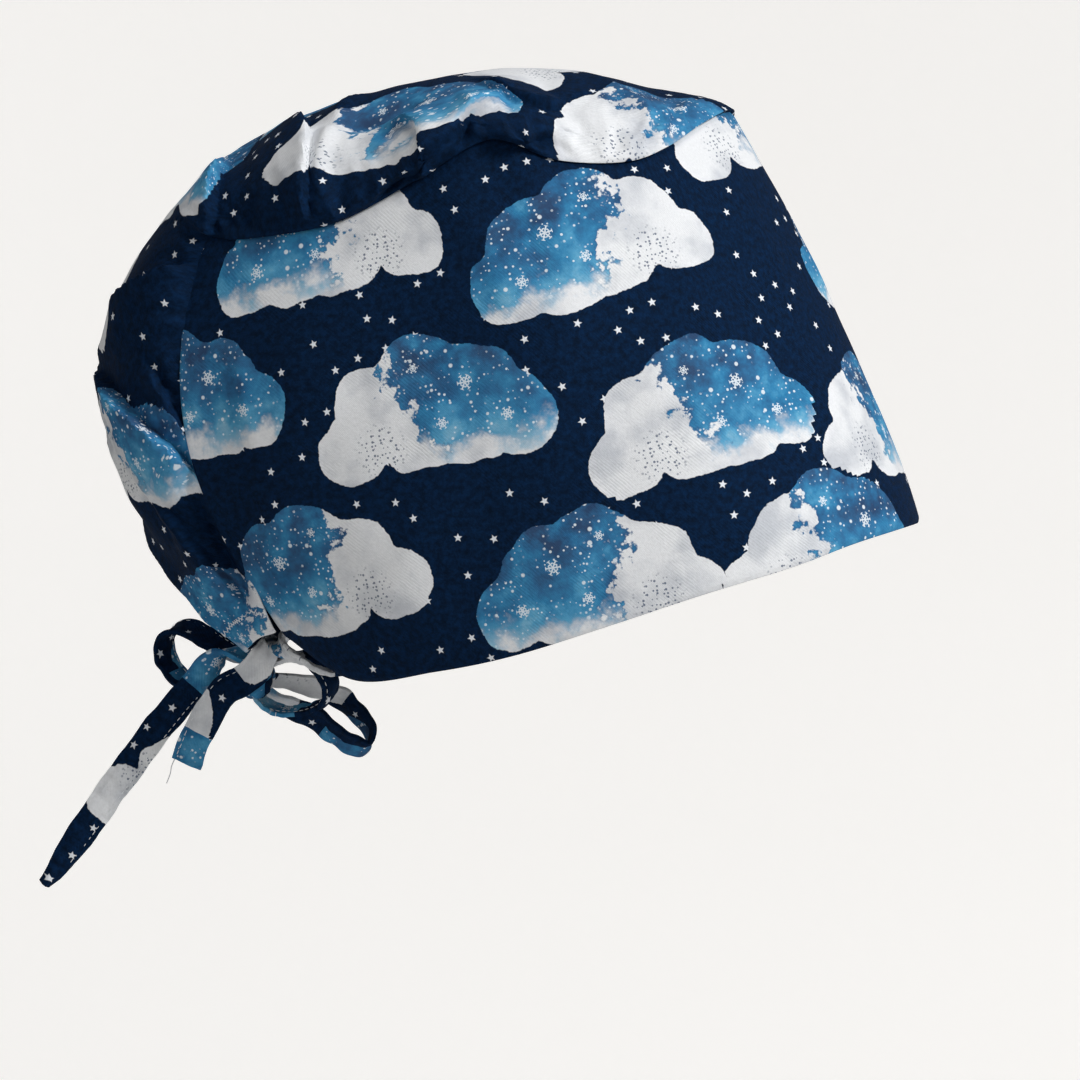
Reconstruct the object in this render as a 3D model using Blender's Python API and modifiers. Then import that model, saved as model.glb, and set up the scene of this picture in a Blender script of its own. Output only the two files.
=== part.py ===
"""A tie-back scrub cap as it stands when it is worn: band, gathered crown and back pouch, two ties and their bow.

Metres, +Z up. The wearer faces -Y and the wearer's left is +X. The origin is the centre of the head opening, at the
height of its hem on the head's own upright axis. In the tables "ahead" is towards the face (-Y), "back" is away from
it (+Y), "aside" is the distance from the middle plane (X = 0), "right" is towards the wearer's right (-X) and "up" is
the height (Z). Their lengths are shares of the named sizes that the comment above each table gives.
"""
import math

import bmesh
import bpy
import numpy as np
from mathutils import Vector

# Driving sizes of the cap
CAP_LENGTH = 0.296  # front hem to the back of the pouch
HALF_WIDTH = 0.080  # middle plane to the side hem
CAP_HEIGHT = 0.188  # middle of the hem to the top of the crown
CLOTH = 0.0016  # one made-up wall: face cloth, facing and turnings
SEAM_GAP = 0.0003  # clearance of the crown's sewn edge from the band's
CROWN_PUFF = 0.0035  # how far the gathered crown bulges over its seam
FOLD_DEPTH = 0.0040  # height of the sharpest fold in the crown and pouch

# Driving sizes of the ties and of the bow
TIE_WIDTH = 0.0110
TIE_THICK = 0.0016
TIE_GAP = 0.0003  # clearance of a tie's end from the band or from the knot
KNOT_WIDTH = 0.0130
KNOT_LENGTH = 0.0120
KNOT_HEIGHT = 0.0160
KNOT_DROP = 0.0134  # knot's centre below the pouch's hem
KNOT_OFFSET = 0.0040  # knot's centre to the wearer's right of the middle plane
REAR_LOOP = 0.0355  # knot to the far end of the loop that points back
NEAR_LOOP = 0.0310  # knot to the far end of the loop that points forward
NAPE_LOOP = 0.0480  # knot to the far end of the loop that hangs under the nape
LONG_TAIL = 0.1110  # knot to the tip, in a straight line
SHORT_TAIL = 0.0396  # knot to the cut end, in a straight line

# How finely the walls are divided
STATION_COLUMNS = 3  # band columns for each station of its table
BAND_LINES = 12
CROWN_COLUMNS = 24
TIE_STEP = 0.0026
TIE_COLUMNS = 2

# Band, one row for each station from the centre front round to the back edge. Ahead is a share of CAP_LENGTH, aside
# of HALF_WIDTH and up of CAP_HEIGHT; the bulge is how far the middle of the column stands off its straight line.
# hem ahead, hem aside, hem up, top ahead, top aside, top up, bulge ahead, bulge aside
BAND_ROWS = (
    (0.378, 0.000, 0.160, 0.155, 0.000, 0.920, 0.016, 0.000),
    (0.365, 0.313, 0.154, 0.135, 0.338, 0.888, 0.016, 0.025),
    (0.324, 0.588, 0.133, 0.105, 0.538, 0.846, 0.012, 0.063),
    (0.264, 0.788, 0.096, 0.064, 0.688, 0.819, 0.007, 0.100),
    (0.162, 0.938, 0.045, -0.010, 0.800, 0.824, 0.003, 0.125),
    (0.054, 0.994, -0.013, -0.081, 0.863, 0.860, 0.000, 0.125),
    (-0.047, 0.975, -0.064, -0.155, 0.888, 0.798, -0.007, 0.113),
    (-0.142, 0.900, -0.098, -0.253, 0.888, 0.718, -0.017, 0.113),
    (-0.250, 0.750, -0.122, -0.348, 0.825, 0.691, -0.037, 0.106),
    (-0.341, 0.588, -0.053, -0.429, 0.700, 0.684, -0.063, 0.100),
)
# Crown and pouch, one row for each arch from the centre front over the top and down to the nape. Its foot stands on
# the band's top edge, and from the back corner on against the band's back edge, at a share of that edge's height.
# Where the crown turns inwards at the seam its foot is lifted off the edge, by a share of CLOTH.
# band station of the foot, share of the height, lift, ridge ahead, ridge up
CROWN_ROWS = (
    (0, 1.00, 1.0, 0.155, 0.920),
    (1, 1.00, 0.9, 0.128, 0.935),
    (2, 1.00, 0.6, 0.091, 0.949),
    (3, 1.00, 0.3, 0.041, 0.965),
    (4, 1.00, 0.0, -0.027, 0.993),
    (5, 1.00, 0.0, -0.108, 0.995),
    (6, 1.00, 0.0, -0.203, 0.977),
    (7, 1.00, 0.0, -0.318, 0.934),
    (8, 1.00, 0.0, -0.424, 0.862),
    (9, 1.00, 0.0, -0.506, 0.743),
    (9, 0.89, 0.0, -0.571, 0.612),
    (9, 0.68, 0.0, -0.593, 0.478),
    (9, 0.52, 0.0, -0.598, 0.360),
    (9, 0.38, 0.0, -0.575, 0.224),
    (9, 0.25, 0.0, -0.519, 0.098),
    (9, 0.15, 0.0, -0.468, -0.006),
    (9, 0.06, 0.0, -0.416, -0.076),
)
# Folds of the crown and pouch, from one end of each crease to the other. A row is the number of an arch above, across
# runs from -1, the seam on the wearer's right, over 0, the ridge, to 1; width is a share of CAP_LENGTH and height a
# share of FOLD_DEPTH, below nothing for a valley.
# first row, first across, last row, last across, width, height
CROWN_FOLDS = (
    (7.8, -0.72, 6.9, -0.05, 0.022, 0.45),
    (8.8, -0.78, 8.2, -0.02, 0.024, 0.60),
    (6.7, -0.39, 5.5, -0.57, 0.020, -0.80),
    (6.8, -0.93, 5.5, -0.80, 0.026, 0.90),
    (5.4, -0.62, 6.2, -0.90, 0.018, 0.60),
    (9.8, -0.30, 10.2, -0.90, 0.016, -0.90),
    (9.5, -0.30, 9.8, -0.92, 0.024, 0.60),
    (10.9, -0.10, 12.6, -0.86, 0.022, 1.00),
    (12.6, -0.86, 14.6, -0.94, 0.018, 0.70),
    (11.0, -0.80, 13.0, -0.95, 0.016, -0.80),
    (13.0, -0.30, 15.4, -0.20, 0.020, 0.60),
    (13.4, -0.02, 15.6, -0.02, 0.016, -0.60),
    (7.4, 0.70, 6.9, 0.10, 0.022, 0.45),
    (8.6, 0.80, 8.2, 0.08, 0.024, 0.50),
    (6.4, 0.90, 5.6, 0.60, 0.024, 0.80),
    (9.9, 0.35, 10.4, 0.90, 0.018, -0.70),
    (9.4, 0.40, 9.7, 0.92, 0.024, 0.50),
    (11.2, 0.15, 12.9, 0.88, 0.022, 0.90),
    (12.2, 0.35, 14.8, 0.60, 0.018, -0.60),
    (13.0, 0.28, 15.4, 0.22, 0.020, 0.60),
)
# Shallow waves of the band, in the same way: a station runs from -9 on the wearer's right to 9, height from 0, hem.
# first station, first height, last station, last height, width, height of the wave
BAND_FOLDS = (
    (-8.4, 0.15, -8.2, 0.80, 0.030, 0.45),
    (-7.2, 0.05, -6.4, 0.55, 0.040, -0.35),
    (-5.6, 0.97, -5.0, 0.55, 0.028, 0.30),
    (-3.2, 0.06, -3.6, 0.50, 0.050, 0.30),
    (-1.2, 0.98, -1.6, 0.70, 0.030, 0.30),
    (1.4, 0.95, 1.8, 0.60, 0.030, -0.25),
    (3.4, 0.06, 3.2, 0.50, 0.050, 0.30),
    (6.8, 0.05, 6.2, 0.60, 0.040, -0.35),
    (8.3, 0.15, 8.1, 0.80, 0.030, 0.45),
)

# Where each tie leaves the band: its station on the hem.
TIE_STATION = 8.3
# Routes of the ties' first stretch. Inward and back are shares of the way from there to the knot, sideways and back,
# rise is a share of the straight distance, and flat is the direction in which the tie's width runs.
# inward, back, rise, flat back, flat inward, flat up, width
RIGHT_LEAD = (
    (0.095, -0.020, 0.000, 0.05, 0.95, 0.00, 0.90),
    (0.205, 0.239, 0.035, 0.15, 0.95, -0.20, 0.90),
    (0.310, 0.414, 0.081, 0.10, 0.95, -0.25, 0.90),
    (0.460, 0.589, 0.130, 0.50, 0.75, -0.10, 0.85),
    (0.655, 0.713, 0.145, 0.60, 0.70, 0.00, 0.80),
    (0.789, 0.790, 0.115, 0.60, 0.60, 0.20, 0.80),
    (0.835, 0.850, 0.070, 0.75, 0.30, 0.45, 0.90),
)
LEFT_LEAD = (
    (0.095, -0.020, 0.015, 0.05, 0.95, 0.00, 0.90),
    (0.250, 0.290, 0.020, 0.30, 0.90, -0.10, 0.95),
    (0.500, 0.620, 0.020, 0.60, 0.65, -0.05, 0.95),
    (0.750, 0.840, 0.022, 0.80, 0.40, 0.05, 0.85),
    (1.000, 1.000, 0.005, 0.85, 0.30, 0.10, 0.70),
)
# Routes from the knot's centre, each in shares of its own named reach.
# back, right, up, flat back, flat right, flat up, width
SHORT_TAIL_ROWS = (
    (-0.085, 0.205, 0.185, 0.78, -0.10, 0.60, 0.95),
    (-0.010, 0.205, 0.085, 0.78, 0.00, 0.62, 1.00),
    (0.095, 0.240, -0.010, 0.78, 0.00, 0.62, 1.00),
    (0.242, 0.278, -0.090, 0.80, 0.00, 0.60, 1.00),
    (0.364, 0.278, -0.265, 0.84, 0.00, 0.54, 1.00),
    (0.475, 0.253, -0.444, 0.87, 0.05, 0.48, 1.00),
    (0.558, 0.235, -0.629, 0.90, 0.08, 0.42, 1.00),
    (0.614, 0.227, -0.758, 0.90, 0.10, 0.40, 1.04),
)
LONG_TAIL_ROWS = (
    (0.000, 0.010, 0.030, 0.10, 0.95, -0.30, 0.80),
    (0.040, 0.012, 0.072, 0.10, 0.95, -0.30, 0.80),
    (0.092, 0.025, 0.084, 0.20, 0.90, -0.10, 0.85),
    (0.137, 0.040, 0.058, 0.45, 0.60, 0.35, 0.90),
    (0.177, 0.054, 0.003, 0.70, 0.30, 0.60, 0.95),
    (0.256, 0.063, -0.087, 0.72, 0.10, 0.69, 0.95),
    (0.400, 0.075, -0.270, 0.78, 0.00, 0.62, 0.97),
    (0.571, 0.088, -0.508, 0.81, 0.10, 0.58, 0.90),
    (0.640, 0.090, -0.606, 0.76, 0.35, 0.54, 0.62),
    (0.690, 0.090, -0.673, 0.70, 0.50, 0.50, 0.28),
)
REAR_LOOP_ROWS = (
    (0.000, -0.130, 0.150, 0.25, 0.90, -0.25, 0.70),
    (0.170, -0.190, 0.185, 0.25, 0.90, -0.25, 0.80),
    (0.340, -0.220, 0.245, 0.30, 0.85, -0.35, 0.90),
    (0.650, -0.270, 0.400, 0.32, 0.82, -0.45, 0.95),
    (0.840, -0.295, 0.480, 0.34, 0.82, -0.42, 0.95),
    (0.990, -0.310, 0.460, 0.36, 0.84, -0.36, 0.95),
    (1.060, -0.310, 0.350, 0.38, 0.85, -0.30, 0.95),
    (1.050, -0.300, 0.210, 0.38, 0.85, -0.30, 0.95),
    (0.970, -0.290, 0.060, 0.36, 0.86, -0.28, 0.95),
    (0.850, -0.280, -0.050, 0.34, 0.86, -0.28, 0.95),
    (0.600, -0.240, -0.100, 0.30, 0.88, -0.25, 0.90),
    (0.350, -0.200, -0.085, 0.25, 0.90, -0.25, 0.85),
    (0.170, -0.180, -0.050, 0.25, 0.90, -0.25, 0.80),
    (0.000, -0.130, -0.010, 0.25, 0.90, -0.25, 0.70),
)
NEAR_LOOP_ROWS = (
    (0.000, 0.020, 0.100, 0.20, 0.90, -0.20, 0.70),
    (-0.150, 0.050, 0.180, 0.20, 0.90, -0.20, 0.75),
    (-0.360, 0.120, 0.260, 0.25, 0.90, -0.20, 0.80),
    (-0.600, 0.200, 0.290, 0.30, 0.88, -0.20, 0.85),
    (-0.810, 0.220, 0.160, 0.32, 0.86, -0.25, 0.90),
    (-0.920, 0.200, -0.020, 0.32, 0.86, -0.30, 0.90),
    (-0.860, 0.130, -0.210, 0.30, 0.86, -0.32, 0.90),
    (-0.660, 0.040, -0.320, 0.28, 0.88, -0.30, 0.90),
    (-0.400, -0.030, -0.370, 0.26, 0.90, -0.25, 0.85),
    (-0.160, -0.050, -0.340, 0.22, 0.92, -0.20, 0.80),
    (-0.020, -0.040, -0.240, 0.15, 0.95, -0.10, 0.75),
    (0.000, -0.030, 0.000, 0.10, 0.95, 0.00, 0.70),
)
NAPE_LOOP_ROWS = (
    (0.000, -0.060, -0.080, -0.50, 0.40, 0.60, 0.50),
    (-0.040, -0.180, -0.140, -0.50, 0.40, 0.60, 0.60),
    (-0.150, -0.270, -0.220, -0.45, 0.45, 0.60, 0.85),
    (-0.300, -0.350, -0.290, -0.40, 0.50, 0.60, 0.95),
    (-0.480, -0.400, -0.430, -0.40, 0.55, 0.60, 0.95),
    (-0.630, -0.440, -0.530, -0.40, 0.60, 0.55, 0.95),
    (-0.710, -0.480, -0.540, -0.40, 0.65, 0.50, 0.95),
    (-0.730, -0.520, -0.470, -0.40, 0.65, 0.50, 0.95),
    (-0.660, -0.550, -0.340, -0.40, 0.60, 0.55, 0.95),
    (-0.500, -0.540, -0.190, -0.40, 0.55, 0.60, 0.95),
    (-0.320, -0.470, -0.100, -0.40, 0.50, 0.60, 0.85),
    (-0.160, -0.340, -0.045, -0.40, 0.45, 0.60, 0.70),
    (-0.040, -0.200, -0.020, -0.40, 0.40, 0.60, 0.55),
    (0.000, -0.060, 0.000, -0.40, 0.40, 0.60, 0.50),
)


def smooth_row(rows, number):
    """A table's values at a fractional row number, on a Catmull-Rom curve that runs on past both ends."""
    table = np.asarray(rows, float)
    last = len(table) - 1
    low = min(max(math.floor(number), 0), last - 1)
    share = number - low
    first, second = table[low], table[low + 1]
    before = table[low - 1] if low > 0 else 2 * first - second
    after = table[low + 2] if low + 2 <= last else 2 * second - first
    return 0.5 * (
        2 * first
        + (second - before) * share
        + (2 * before - 5 * first + 4 * second - after) * share**2
        + (3 * first - before - 3 * second + after) * share**3
    )


def cap_place(ahead, aside, up):
    """A point of the cap's tables in metres, on the wearer's left where aside is above nothing."""
    return np.array([aside * HALF_WIDTH, -ahead * CAP_LENGTH, up * CAP_HEIGHT])


LAST_STATION = len(BAND_ROWS) - 1
OTHER_SIDE = np.array([1, -1, 1, 1, -1, 1, 1, -1])
WHOLE_BAND = np.vstack([(np.array(BAND_ROWS) * OTHER_SIDE)[:0:-1], np.array(BAND_ROWS)])


def band_base(station, share):
    """The band's outer face without its waves, share from 0 at the hem to 1 at the top."""
    row = smooth_row(WHOLE_BAND, station + LAST_STATION)
    hem, top = cap_place(*row[0:3]), cap_place(*row[3:6])
    bulge = cap_place(row[6], row[7], 0.0)
    return hem + (top - hem) * share + bulge * 4 * share * (1 - share)


def foot_of_arch(row_number):
    """Station and share of the band's edge under an arch, on straight lines between the table's rows."""
    numbers = range(len(CROWN_ROWS))
    station = np.interp(row_number, numbers, [row[0] for row in CROWN_ROWS])
    share = np.interp(row_number, numbers, [row[1] for row in CROWN_ROWS])
    return station, share


def crown_base(row_number, across):
    """The crown's outer face without its folds: an arch that leaves its foot upright and is level on the ridge."""
    side = -1.0 if across < 0 else 1.0
    station, share = foot_of_arch(row_number)
    edge = band_base(side * station, share)
    up_step = band_base(side * station, share + 0.01) - edge
    back_step = band_base(side * (station + 0.01), share) - edge
    corner = LAST_STATION
    away = np.zeros(3)
    if row_number <= corner:
        away += up_step / np.linalg.norm(up_step)
    if row_number >= corner:
        away += back_step / np.linalg.norm(back_step)
    lift, ridge_ahead, ridge_up = smooth_row(CROWN_ROWS, row_number)[2:]
    foot = edge + away * (SEAM_GAP + lift * CLOTH)
    ridge = cap_place(ridge_ahead, 0.0, ridge_up)
    ridge[1:] += (foot - edge)[1:]
    turn = math.radians(90 * (1 - abs(across)))
    point = foot + (ridge - foot) * math.sin(turn)
    point[0] = foot[0] * (math.cos(turn) + CROWN_PUFF / HALF_WIDTH * math.sin(2 * turn))
    return point


def slope_frame(surface, first, second):
    """A point of a surface and the outward normal there; first grows back along the cap, second upwards or across."""
    step = 0.02
    point = surface(first, second)
    along = surface(first + step, second) - surface(first - step, second)
    over = surface(first, second + step) - surface(first, second - step)
    normal = np.cross(over, along)
    length = np.linalg.norm(normal)
    return point, normal / length if length > 1e-12 else np.array([0.0, 0.0, 1.0])


def fold_lines(surface, folds):
    """Each fold as the points of its crease on the bare surface, with its width and its height in metres."""
    lines = []
    for first, first_over, last, last_over, width, height in folds:
        shares = np.linspace(0, 1, 9)
        crease = [surface(first + (last - first) * s, first_over + (last_over - first_over) * s) for s in shares]
        lines.append((np.array(crease), width * CAP_LENGTH, height * FOLD_DEPTH))
    return lines


def fold_lift(point, lines):
    """How far the folds lift a point of the surface, each fading away from its crease and past the crease's ends."""
    lift = 0.0
    for crease, width, height in lines:
        nearest = np.min(np.linalg.norm(crease - point, axis=1))
        lift += height * math.exp(-((nearest / width) ** 2))
    return lift


def flat_sheet(columns, lines):
    """A flat grid of faces, for a wall: its points run from 0 to 1 both ways in X and Y."""
    sheet = bmesh.new()
    bmesh.ops.create_grid(sheet, x_segments=columns, y_segments=lines, size=0.5)
    bmesh.ops.translate(sheet, vec=Vector((0.5, 0.5, 0.0)), verts=sheet.verts)
    return sheet


def make_material(name, colour, roughness):
    material = bpy.data.materials.new(name)
    material.use_nodes = True
    shader = material.node_tree.nodes["Principled BSDF"]
    shader.inputs["Base Color"].default_value = (*colour, 1.0)
    shader.inputs["Roughness"].default_value = roughness
    shader.inputs["Metallic"].default_value = 0.0
    return material


def add_wall(name, sheet, thickness, offset, material, collection):
    """Turns a bent sheet into an object with a wall; offset -1 puts all of the thickness behind the sheet."""
    bmesh.ops.remove_doubles(sheet, verts=sheet.verts, dist=1e-6)
    mesh = bpy.data.meshes.new(name)
    sheet.to_mesh(mesh)
    sheet.free()
    mesh.materials.append(material)
    mesh.shade_smooth()
    wall = bpy.data.objects.new(name, mesh)
    collection.objects.link(wall)
    solid = wall.modifiers.new("cloth", "SOLIDIFY")
    solid.thickness = thickness
    solid.offset = offset
    return wall


def make_band(material, collection):
    """The fitted panel, in one piece from back edge to back edge, its hem open below and its top open above."""
    lines = fold_lines(band_base, BAND_FOLDS)
    sheet = flat_sheet(2 * LAST_STATION * STATION_COLUMNS, BAND_LINES)
    for corner in sheet.verts:
        station = (2 * corner.co.x - 1) * LAST_STATION
        share = corner.co.y
        point, normal = slope_frame(band_base, station, share)
        inside = 4 * share * (1 - share) * (1 - (station / LAST_STATION) ** 8)
        corner.co = Vector(point - normal * fold_lift(point, lines) * inside)
    return add_wall("band", sheet, CLOTH, -1.0, material, collection)


def crown_rows_used():
    """Numbers of the arches: one foot on each of the band's columns, and then the same count as its lines."""
    top = np.linspace(0, LAST_STATION, LAST_STATION * STATION_COLUMNS + 1)
    back_shares = [row[1] for row in CROWN_ROWS[LAST_STATION:]]
    back_numbers = range(LAST_STATION, len(CROWN_ROWS))
    even_shares = np.linspace(back_shares[0], back_shares[-1], BAND_LINES + 1)
    back = np.interp(-even_shares, [-share for share in back_shares], back_numbers)
    return np.concatenate([top, back[1:]])


def make_crown(material, collection):
    """Gathered top and back pouch in one wall: arches from seam to seam, all meeting the band's edge."""
    lines = fold_lines(crown_base, CROWN_FOLDS)
    numbers = crown_rows_used()
    sheet = flat_sheet(CROWN_COLUMNS, len(numbers) - 1)
    for corner in sheet.verts:
        number = numbers[round(corner.co.y * (len(numbers) - 1))]
        across = 2 * corner.co.x - 1
        point, normal = slope_frame(crown_base, max(number, 0.04), across)
        fade = (1 - abs(across) ** 6) * min(number / 2, 1.0)
        corner.co = Vector(crown_base(number, across) + normal * fold_lift(point, lines) * fade)
    return add_wall("crown", sheet, CLOTH, -1.0, material, collection)


def knot_centre():
    nape = crown_base(len(CROWN_ROWS) - 1, 0.0)
    return nape + np.array([-KNOT_OFFSET, 0.0, -KNOT_DROP])


def from_knot(rows, reach):
    """A table's route in world metres: place, direction of the flat, and width of the tie at each row."""
    route = []
    for back, right, up, flat_back, flat_right, flat_up, width in rows:
        place = knot_centre() + np.array([-right, back, up]) * reach
        route.append([*place, -flat_right, flat_back, flat_up, width])
    return route


def lead_to_knot(rows, side):
    """A tie's first stretch, from under the hem; side is -1 for the tie on the wearer's right, 1 for the other."""
    start = band_base(side * TIE_STATION, 0.0) - np.array([0.0, 0.0, TIE_GAP + TIE_THICK / 2])
    run = knot_centre() - start
    span = np.linalg.norm(run)
    route = []
    for inward, back, rise, flat_back, flat_inward, flat_up, width in rows:
        place = start + np.array([run[0] * inward, run[1] * back, span * rise])
        route.append([*place, -side * flat_inward, flat_back, flat_up, width])
    return route


def clear_of_knot(sample, along):
    """Whether a tie's cross-section at one place of its route lies outside the knot and its clearance."""
    half = np.array([KNOT_WIDTH, KNOT_LENGTH, KNOT_HEIGHT]) / 2 + TIE_GAP
    face = np.cross(sample[3:6], along) * TIE_THICK / 2
    for share in (-0.5, -0.25, 0.0, 0.25, 0.5):
        middle = sample[:3] + sample[3:6] * TIE_WIDTH * sample[6] * share - knot_centre()
        if min(np.linalg.norm((middle + face * side) / half) for side in (-1, 0, 1)) < 1:
            return False
    return True


def make_tie(name, route, material, collection, ends_in_knot=True):
    """A flat tie along a route of places, flat directions and widths, cut back to the knot where it ends in it."""
    route = np.array(route)
    length = np.sum(np.linalg.norm(np.diff(route[:, :3], axis=0), axis=1))
    numbers = np.linspace(0, len(route) - 1, round(12 * length / TIE_STEP))
    line = np.array([smooth_row(route, number) for number in numbers])
    along = np.gradient(line[:, :3], axis=0)
    along /= np.linalg.norm(along, axis=1, keepdims=True)
    line[:, 3:6] -= along * np.sum(line[:, 3:6] * along, axis=1, keepdims=True)
    line[:, 3:6] /= np.linalg.norm(line[:, 3:6], axis=1, keepdims=True)
    if ends_in_knot:
        line = line[[clear_of_knot(*place) for place in zip(line, along)]]
    run = np.concatenate([[0], np.cumsum(np.linalg.norm(np.diff(line[:, :3], axis=0), axis=1))])
    sheet = flat_sheet(round(run[-1] / TIE_STEP), TIE_COLUMNS)
    for corner in sheet.verts:
        sample = np.array([np.interp(corner.co.x * run[-1], run, line[:, column]) for column in range(7)])
        corner.co = Vector(sample[:3] + sample[3:6] * (corner.co.y - 0.5) * TIE_WIDTH * sample[6])
    return add_wall(name, sheet, TIE_THICK, 0.0, material, collection)


def make_knot(material, collection):
    """The wraps of both ties as one rounded solid."""
    ball = bmesh.new()
    bmesh.ops.create_uvsphere(ball, u_segments=16, v_segments=10, radius=0.5)
    bmesh.ops.scale(ball, vec=Vector((KNOT_WIDTH, KNOT_LENGTH, KNOT_HEIGHT)), verts=ball.verts)
    bmesh.ops.translate(ball, vec=Vector(knot_centre()), verts=ball.verts)
    mesh = bpy.data.meshes.new("bow_knot")
    ball.to_mesh(mesh)
    ball.free()
    mesh.materials.append(material)
    mesh.shade_smooth()
    knot = bpy.data.objects.new("bow_knot", mesh)
    collection.objects.link(knot)
    return knot


def main():
    for old in list(bpy.data.objects):
        bpy.data.objects.remove(old)
    collection = bpy.data.collections.new("scrub_cap")
    bpy.context.scene.collection.children.link(collection)
    make_band(make_material("printed cotton of the band", (0.012, 0.030, 0.085), 0.85), collection)
    make_crown(make_material("printed cotton of the crown", (0.016, 0.040, 0.110), 0.85), collection)
    tie_cloth = make_material("printed cotton of the ties", (0.020, 0.060, 0.140), 0.85)
    right_route = lead_to_knot(RIGHT_LEAD, -1) + from_knot(SHORT_TAIL_ROWS, SHORT_TAIL)
    make_tie("right_tie", right_route, tie_cloth, collection, ends_in_knot=False)
    make_tie("left_tie", lead_to_knot(LEFT_LEAD, 1), tie_cloth, collection)
    make_knot(tie_cloth, collection)
    make_tie("rear_loop", from_knot(REAR_LOOP_ROWS, REAR_LOOP), tie_cloth, collection)
    make_tie("near_loop", from_knot(NEAR_LOOP_ROWS, NEAR_LOOP), tie_cloth, collection)
    make_tie("nape_loop", from_knot(NAPE_LOOP_ROWS, NAPE_LOOP), tie_cloth, collection)
    make_tie("long_tail", from_knot(LONG_TAIL_ROWS, LONG_TAIL), tie_cloth, collection)


main()
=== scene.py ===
# %% [markdown]
# # A tie-back scrub cap in printed cotton
#
# A scrub cap is sewn from three kinds of cloth piece: a deep band round the head, a crown gathered on to
# the band's top and back edges, and flat ties that hold it together under the nape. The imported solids
# give the place and size of each one. This lesson loads them as a fixed frame and then dresses them in
# finer cloth, in the same metres.

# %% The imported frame
import math

import bmesh
import bpy
import numpy as np
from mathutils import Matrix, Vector
from mathutils.kdtree import KDTree


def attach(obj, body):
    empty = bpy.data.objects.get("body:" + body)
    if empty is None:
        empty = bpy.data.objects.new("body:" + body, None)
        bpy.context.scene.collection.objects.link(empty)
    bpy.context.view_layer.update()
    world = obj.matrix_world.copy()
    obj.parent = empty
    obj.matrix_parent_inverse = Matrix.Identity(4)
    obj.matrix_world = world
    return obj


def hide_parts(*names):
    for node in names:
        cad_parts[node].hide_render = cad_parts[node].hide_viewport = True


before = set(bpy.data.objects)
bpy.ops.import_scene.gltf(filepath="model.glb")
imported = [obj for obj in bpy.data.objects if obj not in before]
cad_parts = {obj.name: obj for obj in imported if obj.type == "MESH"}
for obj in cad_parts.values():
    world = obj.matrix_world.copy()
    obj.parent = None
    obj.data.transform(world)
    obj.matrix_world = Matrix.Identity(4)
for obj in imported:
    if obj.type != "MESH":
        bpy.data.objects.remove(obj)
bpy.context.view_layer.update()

MM = 0.001


def put_in_scene(name, data):
    """A new object of the given mesh, light or camera, at the origin of the scene."""
    made = bpy.data.objects.new(name, data)
    bpy.context.scene.collection.objects.link(made)
    return made


print("solids in the frame:", sorted(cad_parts))

# %% [markdown]
# ## The camera
#
# The picture is taken from the wearer's right, a little ahead of the side and almost level, with a long
# lens, so that near and far ties are nearly the same size. The camera comes first, so that each later
# step can be looked at from it.

# %% Camera
CAMERA_PLACE = Vector((-1.46840, -0.29060, 0.10163))
CAMERA_AIM = Vector((-0.00319, 0.02084, 0.02313))
LENS_MM = 142.5

camera_data = bpy.data.cameras.new("camera")
camera_data.lens = LENS_MM
camera_data.sensor_width = 36.0
camera_data.clip_end = 60.0
camera = put_in_scene("camera", camera_data)
camera.location = CAMERA_PLACE
camera.rotation_mode = "QUATERNION"
camera.rotation_quaternion = (CAMERA_AIM - CAMERA_PLACE).to_track_quat("-Z", "Y")
bpy.context.scene.camera = camera
print("distance to the cap, m:", round((CAMERA_AIM - CAMERA_PLACE).length, 2))

# %% [markdown]
# ## The cap's own surfaces
#
# The solids come from two tables: one row for each station of the band, from the centre front to the back
# edge, and one row for each arch of the crown, from the centre front over the top and down to the nape.
# The same tables are used here on a much finer grid, so that the cloth lies where the solid is. A
# sculpted mesh could do this too, but with tables each fold can be placed by its arch and by its share of
# the way across.

# %% Tables of the cap
CAP_LENGTH = 0.296
HALF_WIDTH = 0.080
CAP_HEIGHT = 0.188
CLOTH = 0.0016
SEAM_GAP = 0.0003
CROWN_PUFF = 0.0035

# hem ahead, hem aside, hem up, top ahead, top aside, top up, bulge ahead, bulge aside
BAND_ROWS = np.array((
    (0.378, 0.000, 0.160, 0.155, 0.000, 0.920, 0.016, 0.000),
    (0.365, 0.313, 0.154, 0.135, 0.338, 0.888, 0.016, 0.025),
    (0.324, 0.588, 0.133, 0.105, 0.538, 0.846, 0.012, 0.063),
    (0.264, 0.788, 0.096, 0.064, 0.688, 0.819, 0.007, 0.100),
    (0.162, 0.938, 0.045, -0.010, 0.800, 0.824, 0.003, 0.125),
    (0.054, 0.994, -0.013, -0.081, 0.863, 0.860, 0.000, 0.125),
    (-0.047, 0.975, -0.064, -0.155, 0.888, 0.798, -0.007, 0.113),
    (-0.142, 0.900, -0.098, -0.253, 0.888, 0.718, -0.017, 0.113),
    (-0.250, 0.750, -0.122, -0.348, 0.825, 0.691, -0.037, 0.106),
    (-0.341, 0.588, -0.053, -0.429, 0.700, 0.684, -0.063, 0.100),
))
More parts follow.
